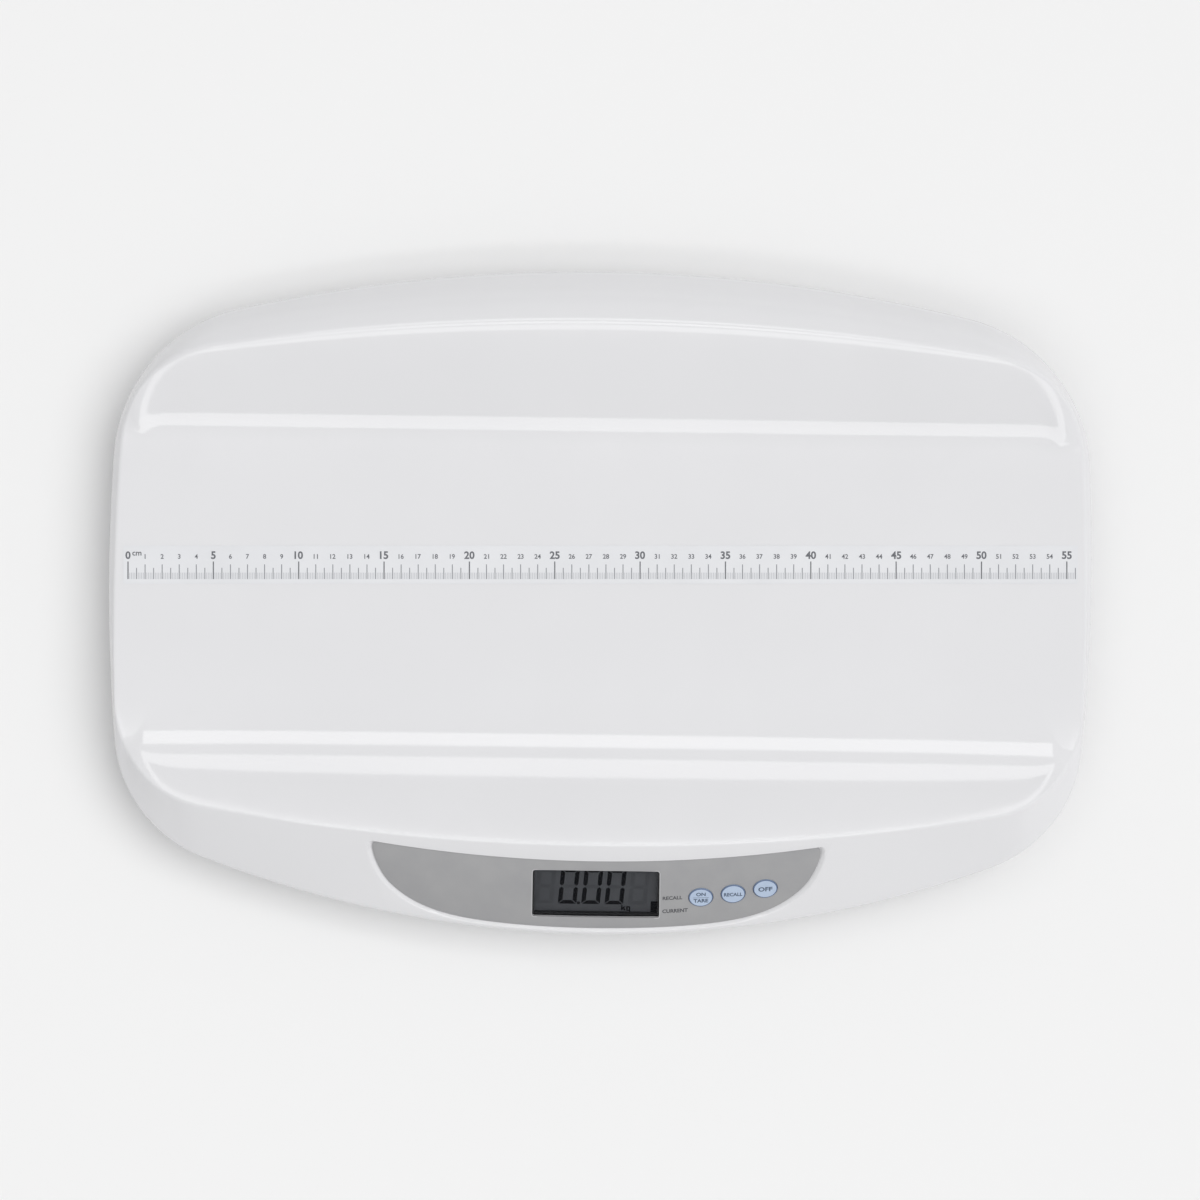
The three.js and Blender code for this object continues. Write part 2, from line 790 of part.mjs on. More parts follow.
// Lower shell and battery cover
const rim_inset = tray_wall + shell_gap;
const bay_half_length = battery_length + nub_length + spring_length / 2 + contact_wall + 2 * seat_gap;
const bay_half_width = row_pitch / 2 + battery_radius + bay_gap;
const bay_front = bay_centre - bay_half_width;
const bay_back = bay_centre + bay_half_width;
const cover_flange_bottom = shell_bottom + cover_wall;
const cover_flange_top = cover_flange_bottom + cover_flange;
const battery_height = cover_flange_top + bay_gap + battery_radius;
const bay_roof = battery_height + battery_radius + bay_gap;

function shellSection(point) {
  const inward = (distance) => point.place.clone().addScaledVector(point.normal, -distance);
  const rim = at(inward(rim_inset), shell_rim_top);
  const bilge = at(inward(rim_inset), shell_bilge_top);
  const keel = at(inward(rim_inset + bilge_width), shell_bottom);
  const flat = at(inward(rim_inset + bilge_width + flat_margin), shell_bottom);
  return [
    flat,
    ...roundedCorner(flat, keel, bilge, bilge_round, round_steps),
    ...roundedCorner(keel, bilge, rim, bilge_round, round_steps),
    rim,
  ];
}

function underShell(depth, top) {
  const rings = sunkRings(ringsOf(barrelLoop(tray_edge).map(shellSection)), depth);
  const upper = rings[rings.length - 1];
  return ringSolid([...rings.slice(0, -1), ringAtHeight(upper, top)]);
}

function shellSkin() {
  return underShell(0, shell_rim_top).subtract(underShell(shell_wall, shell_rim_top + overrun));
}

function coverTrack(grow) {
  const back = tray_edge.back + overrun;
  const half = bay_half_length - fit_gap + grow;
  const front = bay_front + fit_gap - grow;
  const bottom = shell_bottom - overrun;
  const lip_front = bay_back + bay_wall + fit_gap - grow;
  const plate = block(-half, half, front, back, bottom, cover_flange_bottom + grow);
  const lip = block(-half, half, lip_front, back, bottom, cover_lip_top + grow);
  const tongue_half = half + cover_track;
  const tongue_bottom = cover_flange_bottom - grow;
  const tongue_top = cover_flange_top + grow;
  const tongue = block(-tongue_half, tongue_half, front, back, tongue_bottom, tongue_top);
  return { plate: toSolid(plate), lip: toSolid(lip), tongue: toSolid(tongue) };
}

function shellBay() {
  const outer_half = bay_half_length + bay_side_wall;
  const outer = block(
    -outer_half,
    outer_half,
    bay_front - bay_wall,
    bay_back + bay_wall,
    shell_bottom + shell_wall / 2,
    bay_roof + bay_wall,
  );
  const inner = block(-bay_half_length, bay_half_length, bay_front, bay_back, shell_bottom - overrun, bay_roof);
  return { outer: toSolid(outer), inner: toSolid(inner) };
}

const tab_x = bay_half_length - contact_wall / 2;

function tabSlot(x, y) {
  const half = contact_wall / 2 + fit_gap;
  const half_width = tab_width / 2 + fit_gap;
  const [bottom, top] = [bay_roof - overrun, bay_roof + overrun];
  return toSolid(block(x - half, x + half, y - half_width, y + half_width, bottom, top));
}

function buildLowerShell() {
  let shell = shellSkin();
  for (const { x, y } of shell_screw_places) {
    shell = shell.add(toSolid(post(shell_boss_radius, shell_bottom + shell_wall / 2, shell_boss_top, x, y)));
  }
  const bay = shellBay();
  const track = coverTrack(fit_gap);
  shell = shell.add(bay.outer).subtract(bay.inner);
  shell = shell.subtract(track.plate).subtract(track.lip).subtract(track.tongue);
  for (const { x, y } of shell_screw_places) {
    const head = shell_screw.head_radius + fit_gap;
    const counterbore = post(head, shell_bottom - overrun, shell_counterbore_top, x, y, screw_steps);
    shell = shell.subtract(toSolid(counterbore));
    const hole = shell_screw.radius + fit_gap;
    shell = shell.subtract(toSolid(post(hole, shell_bottom, shell_boss_top + overrun, x, y, screw_steps)));
  }
  const well = roundedShape(cell_length / 2 + overrun, cell_width / 2 + overrun, overrun);
  shell = shell.subtract(toSolid(prism(well, shell_bottom - overrun, shell_bottom + shell_wall + overrun)));
  for (const row of [-1, 1]) shell = shell.subtract(tabSlot(-tab_x, bay_centre + (row * row_pitch) / 2));
  return part('lower_shell', shell, materials.shell_white);
}

function buildCover() {
  const lip = shellSkin().intersect(coverTrack(0).lip);
  const half = bay_half_length - fit_gap;
  const front = bay_front + fit_gap;
  const back = bay_back + bay_wall + fit_gap + cover_track;
  const plate = block(-half, half, front, back, shell_bottom, cover_flange_top);
  const tongue_half = half + cover_track;
  const tongue = block(-tongue_half, tongue_half, front, bay_back, cover_flange_bottom, cover_flange_top);
  return part('battery_cover', lip.add(toSolid(plate)).add(toSolid(tongue)), materials.shell_white);
}

// Base plate and its feet
function buildBase() {
  const outline = roundedShape(base_half_length, base_half_width, base_corner);
  const rim_inner = base_corner - base_rim_wall;
  const inner = roundedShape(base_half_length - base_rim_wall, base_half_width - base_rim_wall, rim_inner);
  let base = toSolid(prism(outline, base_rim_bottom, base_top));
  base = base.subtract(toSolid(prism(inner, base_rim_bottom - overrun, base_bottom)));
  for (const y of base_rib_places) {
    const reach = base_half_length - base_rim_wall / 2;
    base = base.add(toSolid(block(-reach, reach, y, y + base_rim_wall, base_rim_bottom, base_bottom)));
  }
  for (const { x, y } of corners) {
    base = base.add(toSolid(post(foot_boss_radius, base_rim_bottom, base_bottom, x * foot_x, y * foot_y)));
  }
  const grip = cell_grip / 2 + base_pad_margin;
  const pad_half = cell_width / 2 + base_pad_margin;
  const pad = block(-cell_end - grip, grip - cell_end, -pad_half, pad_half, base_pad_bottom, base_bottom);
  base = base.add(toSolid(pad));
  for (const { x, y } of corners) {
    const socket = foot_stem_radius + seat_gap;
    const top = base_rim_bottom + foot_stem_height + seat_gap;
    base = base.subtract(toSolid(post(socket, base_rim_bottom - overrun, top, x * foot_x, y * foot_y)));
    const stop_hole = stop_screw.radius + fit_gap;
    const stop = post(stop_hole, base_rim_bottom, base_top + overrun, x * stop_x, y * stop_y, screw_steps);
    base = base.subtract(toSolid(stop));
  }
  for (const x of bolt_places) {
    const head_top = base_pad_bottom + cell_bolt.head_height;
    const head = cell_bolt.head_radius + fit_gap;
    const counterbore = post(head, base_pad_bottom - overrun, head_top + seat_gap, -x, 0, screw_steps);
    base = base.subtract(toSolid(counterbore));
    const hole = cell_bolt.radius + fit_gap;
    base = base.subtract(toSolid(post(hole, base_pad_bottom, base_top + overrun, -x, 0, screw_steps)));
  }
  return part('base_plate', base, materials.base_grey);
}

function buildFoot({ name, x, y }) {
  const profile = [
    [0, 0],
    [foot_radius - foot_bevel, 0],
    [foot_radius, foot_bevel],
    [foot_radius, foot_height - foot_bevel],
    [foot_radius - foot_bevel, foot_height],
    [foot_stem_radius, foot_height],
    [foot_stem_radius, foot_height + foot_stem_height],
    [0, foot_height + foot_stem_height],
  ];
  const points = profile.map(([r, h]) => new THREE.Vector2(r, h));
  const geometry = new THREE.LatheGeometry(points, circle_steps).rotateX(Math.PI / 2);
  const mesh = part(`foot_${name}`, toSolid(geometry), materials.rubber);
  mesh.position.set(x * foot_x, y * foot_y, 0);
  return mesh;
}

// Load cell with its double bore, spacers and bracket
function cellHoles(side, bottom, top) {
  const radius = cell_bolt.radius + fit_gap;
  return bolt_places.map((x) => toSolid(post(radius, bottom, top, side * x, 0, screw_steps)));
}

function buildCell() {
  const [half_length, half_width] = [cell_length / 2, cell_width / 2];
  const bar = toSolid(block(-half_length, half_length, -half_width, half_width, cell_bottom, cell_top));
  const middle = (cell_bottom + cell_top) / 2;
  const slot = block(
    -cell_bore_pitch / 2,
    cell_bore_pitch / 2,
    -cell_width,
    cell_width,
    middle - cell_slot_height / 2,
    middle + cell_slot_height / 2,
  );
  let cell = bar.subtract(toSolid(slot));
  for (const side of [-1, 1]) {
    const bore = new THREE.CylinderGeometry(cell_bore_radius, cell_bore_radius, 2 * cell_width, circle_steps);
    cell = cell.subtract(toSolid(placed(bore, (side * cell_bore_pitch) / 2, 0, middle)));
  }
  const depth = cell_bolt.length + fit_gap;
  for (const hole of cellHoles(-1, cell_bottom - overrun, cell_bottom + depth)) cell = cell.subtract(hole);
  for (const hole of cellHoles(1, cell_top - depth, cell_top + overrun)) cell = cell.subtract(hole);
  return part('load_cell', cell, materials.aluminium);
}

function buildCoating() {
  const half_length = cell_bore_pitch / 2 + cell_bore_radius;
  const half_width = cell_width / 2 - coating_margin;
  const bottom = cell_top + seat_gap;
  const shape = roundedShape(half_length, half_width, coating_margin);
  return part('gauge_coating', prism(shape, bottom, bottom + coating_height, small_steps), materials.silicone);
}

function buildSpacer(name, side, bottom) {
  const half = cell_grip / 2;
  const place = side * cell_end;
  let spacer = toSolid(block(
    place - half,
    place + half,
    -cell_width / 2,
    cell_width / 2,
    bottom + seat_gap / 2,
    bottom + spacer_height - seat_gap / 2,
  ));
  for (const hole of cellHoles(side, bottom - overrun, bottom + overrun)) spacer = spacer.subtract(hole);
  return part(name, spacer, materials.steel);
}

function buildBracket() {
  const half = cell_grip / 2;
  let bracket = toSolid(block(
    cell_end - half,
    cell_end + half,
    -bracket_rail_outer,
    bracket_rail_outer,
    bracket_bottom,
    bracket_top,
  ));
  for (const side of [-1, 1]) {
    const edges = [side * bracket_rail_inner, side * bracket_rail_outer].sort((a, b) => a - b);
    const rail = block(-bracket_rail_x, bracket_rail_x, edges[0], edges[1], bracket_bottom, bracket_top);
    bracket = bracket.add(toSolid(rail));
  }
  const [cut_bottom, cut_top] = [bracket_bottom - overrun, bracket_top + overrun];
  for (const hole of cellHoles(1, cut_bottom, cut_top)) bracket = bracket.subtract(hole);
  for (const { x, y } of corners) {
    const hole = bracket_screw.radius + fit_gap;
    const place = [x * bracket_screw_x, y * bracket_screw_y];
    bracket = bracket.subtract(toSolid(post(hole, cut_bottom, cut_top, ...place, screw_steps)));
  }
  return part('platform_bracket', bracket, materials.steel);
}

// Ruler label, laid on the floor parallel to the eye, a little out of square with the tray
function buildRuler() {
  const shape = roundedShape(ruler_length / 2, ruler_width / 2, ruler_corner);
  const mesh = part('ruler_label', prism(shape, 0, ruler_thickness, small_steps), materials.label);
  mesh.position.set(0, ruler_y, floor_height + seat_gap / 4);
  mesh.rotation.z = THREE.MathUtils.degToRad(ruler_turn);
  return mesh;
}

// Control panel and window, both bent to the console
function buildPanel() {
  const inner_depth = panel_depth + panel_thickness;
  let panel = panelSheet({ depth: panel_depth, grow: 0 }, { depth: inner_depth, grow: 0 });
  const half_length = display_length / 2 + fit_gap;
  const half_width = display_width / 2 + fit_gap;
  panel = panel.subtract(fromDisplay(displayBlock(half_length, half_width, -overrun, overrun)));
  for (const key of keys) panel = panel.subtract(fromDisplay(keyOval(key, fit_gap, -overrun, overrun)));
  return part('control_panel', panel, materials.panel_grey);
}

function buildWindow() {
  const inner_depth = panel_depth + window_thickness;
  const bent = panelSheet({ depth: panel_depth, grow: 0 }, { depth: inner_depth, grow: 0 });
  const pane = displayBlock(display_length / 2, display_width / 2, -overrun, overrun);
  return part('display_window', bent.intersect(fromDisplay(pane)), materials.window);
}

// Display stack and main board, in the display's frame
function buildBezel() {
  const half_length = display_length / 2;
  const half_width = display_width / 2;
  const flange_bottom = bezel_flange_depth + bezel_flange;
  const margin = bezel_flange_margin;
  let bezel = toSolid(displayBlock(half_length, half_width, bezel_depth, flange_bottom));
  const flange = displayBlock(half_length + margin, half_width + margin, bezel_flange_depth, flange_bottom);
  bezel = bezel.add(toSolid(flange));
  const rail_inner = half_length + glass_margin + fit_gap;
  for (const side of [-1, 1]) {
    const edges = [side * rail_inner, side * (rail_inner + bezel_rail)].sort((a, b) => a - b);
    const rail = block(edges[0], edges[1], -half_width, half_width, board_top + seat_gap, -bezel_flange_depth);
    bezel = bezel.add(toSolid(rail));
  }
  const sight = displayBlock(half_length - bezel_rim, half_width - bezel_rim, 0, board_depth);
  return part('display_bezel', bezel.subtract(toSolid(sight)), materials.bezel);
}

function buildGlass() {
  const half_length = display_length / 2 + glass_margin;
  const half_width = display_width / 2 + glass_margin;
  const glass = displayBlock(half_length, half_width, glass_depth, glass_depth + glass_thickness);
  return part('display_glass', glass, materials.glass);
}

function buildElastomer() {
  const half_length = display_length / 2 - elastomer_inset;
  const low = elastomer_inset - display_width / 2;
  const top = -(glass_depth + glass_thickness + seat_gap);
  const strip = block(-half_length, half_length, low, low + elastomer_width, board_top + seat_gap, top);
  return part('elastomer_connector', strip, materials.silicone);
}

function buildBoard() {
  const outline = [
    [-board_left, -board_half_width],
    [board_cut_start, -board_half_width],
    [board_right, board_cut_rise - board_half_width],
    [board_right, board_half_width],
    [-board_left, board_half_width],
  ];
  const shape = new THREE.Shape(outline.map(([x, y]) => new THREE.Vector2(x, y)));
  let board = toSolid(prism(shape, board_bottom, board_top));
  for (const { x, rise } of board_screw_places) {
    const radius = board_screw.radius + fit_gap;
    const hole = post(radius, board_bottom - overrun, board_top + overrun, x, rise, screw_steps);
    board = board.subtract(toSolid(hole));
  }
  return part('main_board', board, materials.board);
}

function buildProcessor() {
  const half = processor_size / 2;
  const top = board_bottom - seat_gap;
  return part(
    'processor',
    block(processor_x - half, processor_x + half, -half, half, top - processor_height, top),
    materials.chip,
  );
}

function keyPost(key, radius, z0, z1) {
  const { place } = inDisplay(key.x, key.place);
  return post(radius, z0, z1, place.x, place.y, screw_steps);
}

function buildKey(key) {
  const { place, turn } = inDisplay(key.x, key.place);
  const flange_top = pocket_depth + pocket_floor + fit_gap;
  const flange_bottom = flange_top + key_flange_height;
  const cap_top = panel_depth - key_proud;
  const settings = {
    depth: flange_bottom - cap_top - key_edge_round,
    bevelEnabled: true,
    bevelThickness: key_edge_round,
    bevelSize: key_edge_round,
    bevelSegments: small_steps,
    bevelOffset: -key_edge_round,
  };
  const cap = new THREE.ExtrudeGeometry(ovalShape(key_half_length, key_half_width), settings);
  placed(cap, 0, 0, -flange_bottom);
  cap.applyQuaternion(turn);
  placed(cap, place.x, place.y, place.z);
  const flange = toSolid(keyOval(key, key_flange, flange_top, flange_bottom));
  const stem_top = place.z - flange_top - key_flange_height / 2;
  const stem = toSolid(keyPost(key, key_stem_radius, plunger_top + seat_gap / 2, stem_top));
  const solid = toSolid(cap).add(flange).add(stem);
  return part(`${key.name}_key`, solid, materials.key_blue);
}

function buildSwitch(key) {
  const { place } = inDisplay(key.x, key.place);
  const half = switch_size / 2;
  const bottom = board_top + seat_gap;
  const body = block(place.x - half, place.x + half, place.y - half, place.y + half, bottom, switch_top);
  const well_bottom = switch_top - plunger_in - key_travel - fit_gap;
  const well = keyPost(key, plunger_radius + fit_gap, well_bottom, switch_top + overrun);
  return part(`${key.name}_switch`, toSolid(body).subtract(toSolid(well)), materials.chip);
}

function buildPlunger(key) {
  const plunger = keyPost(key, plunger_radius, switch_top - plunger_in, plunger_top);
  return part(`${key.name}_plunger`, toSolid(plunger), materials.silicone);
}

function boardScrew(spot, side) {
  const mesh = part(`board_screw_${side}`, toSolid(screwGeometry(board_screw)), materials.steel);
  mesh.position.set(spot.x, spot.rise, board_bottom - board_screw.head_height - seat_gap / 2);
  return mesh;
}

function buildConsole() {
  const console_group = new THREE.Group();
  console_group.applyMatrix4(display_matrix);
  console_group.add(buildBezel(), buildGlass(), buildElastomer(), buildBoard(), buildProcessor());
  for (const key of keys) console_group.add(buildKey(key), buildSwitch(key), buildPlunger(key));
  console_group.add(boardScrew(board_screw_places[0], 'left'), boardScrew(board_screw_places[1], 'right'));
  return console_group;
}

// Batteries and contacts
function batteryGeometry() {
  const profile = [
    [0, 0],
    [battery_radius - battery_shoulder, 0],
    [battery_radius, battery_shoulder],
    [battery_radius, battery_length - battery_shoulder],
    [battery_radius - battery_shoulder, battery_length],
    [nub_radius, battery_length],
    [nub_radius, battery_length + nub_length],
    [0, battery_length + nub_length],
  ];
  const points = profile.map(([r, l]) => new THREE.Vector2(r, l));
  return new THREE.LatheGeometry(points, circle_steps).rotateZ(-Math.PI / 2);
}

function buildBatteries() {
  const first = contact_wall + seat_gap + spring_length - bay_half_length;
  const second = first + battery_length + nub_length + seat_gap;
  const cells = [];
  for (const [row, side] of [['front', 1], ['back', -1]]) {
    for (const [place, start] of [['inner', second], ['outer', first]]) {
      const mesh = part(`battery_${row}_${place}`, toSolid(batteryGeometry()), materials.battery);
      mesh.position.set(side * start, bay_centre - (side * row_pitch) / 2, battery_height);
      if (side < 0) mesh.rotation.z = Math.PI;
      cells.push(mesh);
    }
  }
  return cells;
}

class ConeHelix extends THREE.Curve {
  getPoint(t) {
    const radius = spring_radius + (spring_tip_radius - spring_radius) * t;
    const angle = 2 * Math.PI * spring_turns * t;
    const reach = t * (spring_length - spring_wire);
    return new THREE.Vector3(reach, radius * Math.cos(angle), radius * Math.sin(angle));
  }
}

function springSolid(x, y, side) {
  const wire = new THREE.Shape();
  wire.absarc(0, 0, spring_wire, 0, 2 * Math.PI);
  const settings = {
    steps: turn_steps * spring_turns,
    curveSegments: wire_steps,
    extrudePath: new ConeHelix(),
    bevelEnabled: false,
  };
  const geometry = new THREE.ExtrudeGeometry(wire, settings);
  if (side < 0) geometry.rotateZ(Math.PI);
  return toSolid(placed(geometry, x, y, battery_height));
}

function contactPlate(side, y0, y1) {
  const outer = bay_half_length - seat_gap / 2;
  const edges = [side * (outer - contact_wall), side * outer].sort((a, b) => a - b);
  const half = contact_size / 2;
  const [bottom, top] = [battery_height - half, battery_height + half];
  return toSolid(block(edges[0], edges[1], y0 - half, y1 + half, bottom, top));
}

function contactTab(side, y) {
  const outer = bay_half_length - seat_gap / 2;
  const edges = [side * (outer - contact_wall), side * outer].sort((a, b) => a - b);
  const top = bay_roof + bay_wall + contact_tab_rise;
  return toSolid(block(edges[0], edges[1], y - tab_width / 2, y + tab_width / 2, battery_height, top));
}

function buildContacts() {
  const front = bay_centre - row_pitch / 2;
  const back = bay_centre + row_pitch / 2;
  const inner = bay_half_length - contact_wall;
  const spring_plate = contactPlate(-1, front, front).add(contactTab(-1, front));
  const spring_contact = spring_plate.add(springSolid(-inner, front, 1));
  const flat_contact = contactPlate(-1, back, back).add(contactTab(-1, back));
  const bridge = contactPlate(1, front, back).add(springSolid(inner, back, -1));
  return [
    part('spring_contact', spring_contact, materials.steel),
    part('flat_contact', flat_contact, materials.steel),
    part('bridge_contact', bridge, materials.steel),
  ];
}

// Leads, held inside all the way
function leadSolid(name, route, radius) {
  const section = new THREE.Shape();
  section.absarc(0, 0, radius, 0, 2 * Math.PI);
  const path = new THREE.CatmullRomCurve3(route.map(([x, y, z]) => new THREE.Vector3(x, y, z)));
  const settings = {
    steps: lead_steps,
    curveSegments: wire_steps + 1,
    extrudePath: path,
    bevelEnabled: false,
  };
  return part(name, toSolid(new THREE.ExtrudeGeometry(section, settings)), materials.lead);
}

function boardPoint(x, rise) {
  const depth = board_bottom - lead_radius - fit_gap;
  const point = new THREE.Vector3(x, rise, depth).applyMatrix4(display_matrix);
  return [point.x, point.y, point.z];
}

function buildLeads() {
  const lane = shell_bottom + shell_wall + 2 * lead_radius;
  const cell_side = -cell_width / 2 - fit_gap;
  const cell_lead_x = -cell_end;
  const [board_x, board_y, board_z] = boardPoint(-board_left / 2, 0);
  const cell_route = [
    [cell_lead_x, cell_side, lane + lead_radius],
    [cell_lead_x, cell_side - lead_bend, lane + lead_radius],
    [cell_lead_x, -base_half_width, lane],
    [board_x - lead_bend, board_y + 3 * lead_bend, lane + lead_radius],
    [board_x, board_y + lead_bend, board_z - lead_bend],
    [board_x, board_y, board_z],
  ];
  const [end_x, end_y, end_z] = boardPoint(-board_left + lead_bend, 0);
  const tab_top = bay_roof + bay_wall + contact_tab_rise + fit_gap + battery_lead_radius;
  const around = bracket_rail_x + 3 * lead_bend;
  const battery_route = [
    [-tab_x, bay_centre - row_pitch / 2, tab_top],
    [-tab_x - lead_bend, bay_front - lead_bend, tab_top - battery_lead_radius],
    [-around, bay_front - 6 * lead_bend, lane + 2 * lead_bend],
    [-around, 0, lane + lead_radius],
    [-around, -bay_front + 5 * lead_bend, lane + lead_radius],
    [end_x - lead_bend, end_y + 2 * lead_bend, end_z - lead_bend],
    [end_x, end_y, end_z],
  ];
  return [
    leadSolid('load_cell_lead', cell_route, lead_radius),
    leadSolid('battery_lead', battery_route, battery_lead_radius),
  ];
}

// Assembly
const base = new THREE.Group();
base.add(buildBase(), ...corners.map(buildFoot));
base.add(buildCell(), buildCoating(), buildSpacer('base_spacer', -1, base_top));
bolt_places.forEach((x, i) => {
  base.add(screwPart(`base_bolt_${i + 1}`, cell_bolt, -x, 0, base_pad_bottom));
});
for (const { name, x, y } of corners) {
  const height = base_top + seat_gap / 2 + stop_screw.head_height;
  base.add(screwPart(`stop_screw_${name}`, stop_screw, x * stop_x, y * stop_y, height, true));
}

const platform = new THREE.Group();
platform.add(buildTray(), buildLowerShell(), buildRuler(), buildPanel(), buildWindow(), buildConsole());
platform.add(buildBracket(), buildSpacer('bracket_spacer', 1, cell_top));
bolt_places.forEach((x, i) => {
  const height = bracket_top + seat_gap / 2 + cell_bolt.head_height;
  platform.add(screwPart(`bracket_bolt_${i + 1}`, cell_bolt, x, 0, height, true));
});
for (const { name, x, y } of corners) {
  const height = bracket_bottom - bracket_screw.head_height - seat_gap / 2;
  const place = [x * bracket_screw_x, y * bracket_screw_y, height];
  platform.add(screwPart(`bracket_screw_${name}`, bracket_screw, ...place));
}
for (const { name, x, y } of shell_screw_places) {
  const height = shell_counterbore_top - shell_screw.head_height - seat_gap / 2;
  platform.add(screwPart(`shell_screw_${name}`, shell_screw, x, y, height));
}
platform.add(...buildBatteries(), ...buildContacts(), ...buildLeads(), buildCover());

const group = new THREE.Group();
group.add(base, platform);

export default group;
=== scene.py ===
import math

import bmesh
import bpy
from mathutils import Matrix, Vector


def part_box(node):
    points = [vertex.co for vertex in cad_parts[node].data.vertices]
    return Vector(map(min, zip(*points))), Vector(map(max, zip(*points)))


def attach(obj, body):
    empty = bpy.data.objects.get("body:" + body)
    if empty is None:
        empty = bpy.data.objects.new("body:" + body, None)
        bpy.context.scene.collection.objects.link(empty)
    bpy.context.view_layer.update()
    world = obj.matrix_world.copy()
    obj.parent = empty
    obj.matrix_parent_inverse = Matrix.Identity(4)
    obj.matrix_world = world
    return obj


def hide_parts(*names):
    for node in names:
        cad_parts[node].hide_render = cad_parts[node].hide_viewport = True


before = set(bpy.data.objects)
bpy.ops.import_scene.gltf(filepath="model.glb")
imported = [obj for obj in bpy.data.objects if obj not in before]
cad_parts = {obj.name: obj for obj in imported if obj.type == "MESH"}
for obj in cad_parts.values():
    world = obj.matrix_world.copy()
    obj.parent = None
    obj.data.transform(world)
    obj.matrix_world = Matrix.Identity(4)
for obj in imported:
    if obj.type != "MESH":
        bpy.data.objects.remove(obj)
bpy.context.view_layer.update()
MM = 0.001

# Tray outlines, in plan
tray_edge = dict(half_length=289.26, side_centre=19, side_radius=1142, back=195, back_radius=950,
                 back_corner=94, front=195, front_radius=659, front_corner=80.6)
crest_edge = dict(half_length=285, side_centre=-4, side_radius=1560, back=162.8, back_radius=1560,
                  back_corner=59, front=140, front_radius=1420, front_corner=62)
crease_edge = dict(half_length=271, back=104, front=88, corner=12)
floor_edge = dict(half_length=258, back=93, front=56, corner=5)

# Tray heights, wall and roundings
floor_height = 42
crest_height = 66
edge_height = 34
skirt_bottom = 26
tray_wall = 2.5
crown_share = 0.22
edge_round = 3
rim_round = 9
back_crest_round = 5
front_crest_round = 2
back_crease_round = 7
front_crease_round = 22
# A rounding takes at most this share of either side of its corner
corner_share = 0.45

# Lower shell and battery cover
shell_gap = 0.8
shell_wall = 2.5
shell_rim_top = 29.5
shell_bilge_top = 25
shell_bottom = 14
bilge_width = 27
bilge_round = 4
flat_margin = 9
bay_half_length = 54.65
bay_front = 128.9
bay_back = 159.1
bay_wall = 1.8
bay_side_wall = 3.6
bay_roof = 31.9
cover_flange_bottom = 15.5
cover_flange_top = 16.7
cover_lip_top = 22.5
cover_track = 1.6
shell_screws = {"left": (-245.96, 4), "right": (245.96, 4), "back_left": (-104.15, 138),
                "back_right": (104.15, 138), "front_left": (-112.83, -142), "front_right": (112.83, -142)}
shell_screw_seat = 17.7
# Screws: radius and height of the head, radius and length of the shank
shell_screw_size = (3.5, 2.2, 1.5, 15)
base_bolt_size = (4.25, 2.4, 2.5, 15)
# The cross recess of a screw: its arms as shares of the head's radius, its depth as a share of the head's
# height, and how far it is turned
cross_reach = 0.58
cross_half_width = 0.11
cross_depth = 0.6
cross_turn = 0.5
counterbore_top = 20
shell_boss_top = 22
shell_boss_radius = 6
counterbore_radius = 3.8
screw_hole_radius = 1.8
stem_opening = (70, 20, 5)
grip_count = 6
grip_start = 146
grip_pitch = 2.6
grip_outline = (15, 0.6, 0.59, 6)
grip_depth = 0.7
arrow_points = ((-4, 134.5), (4, 134.5), (0, 140.5))
arrow_depth = 0.4
battery_height = 24.3

# Base plate, feet and load cell
base_half_length = 205
base_half_width = 108
base_corner = 42
base_top = 11
base_bottom = 8
base_rim_wall = 2.5
base_rim_bottom = 5.2
base_pad_bottom = 4
base_ribs = (-38, 38)
base_pad = (23, 19, 3)
base_pad_x = -46
feet = {"front_left": (-168, -74), "front_right": (168, -74),
        "back_left": (-168, 74), "back_right": (168, 74)}
foot_seat_radius = 19
foot_pin_radius = 6.2
# Half sections of a foot and of a cell, as radius and height
foot_profile = [(0, 0), (4.6, 0), (5, 0.5), (5.6, 0.5), (6, 0), (9, 0), (9.4, 0.5), (10, 0.5), (10.4, 0),
                (13.6, 0), (14.4, 0.25), (14.85, 0.8), (15, 1.4), (15, 3.6), (14.8, 4.4), (14.2, 5), (6, 5),
                (6, 7.6), (0, 7.6)]
cell_profile = [(0, 0.25), (4.6, 0.25), (5.2, 0), (6.3, 0), (6.7, 0.25), (6.7, 0.7), (7.0, 0.9), (7.1, 1.1),
                (7.1, 41.5), (7.1, 48.4), (6.9, 48.7), (6.5, 48.8), (6.5, 49.2), (6.1, 49.5), (3.1, 49.5),
                (2.8, 49.6), (2.75, 50.2), (2.5, 50.5), (0, 50.5)]
sleeve_start = 0.8
sleeve_end = 48.75
base_bolts = {"1": (-37, 0), "2": (-55, 0)}
base_bolt_seat = 6.6
base_bolt_seat_radius = 4.55
base_bolt_hole_radius = 2.8
stop_screw_hole_radius = 2.3
base_outer_round = 0.7
base_inner_round = 0.25
stop_screws = [(120 * side_x, 86 * side_y) for side_x in (-1, 1) for side_y in (-1, 1)]

# Fine divisions: points along each side of an outline, and steps round each corner of a section
loop_counts = dict(front=44, corner=16, side=12, back=36)
round_steps = 7
overrun = 5
fit_gap = 0.3
weld_distance = 0.001
direction_step = 0.001

# Console, panel and display
panel_half_length = 132.1
panel_upper = 44.2
panel_upper_drop = 3.4
panel_lower = 3.3
panel_tip = 28.5
panel_tip_power = 6.6
panel_tip_round = 2.6
panel_rise_reach = 12
panel_rise = 9.2
panel_rise_power = 2
panel_depth = 1.2
panel_thickness = 0.5
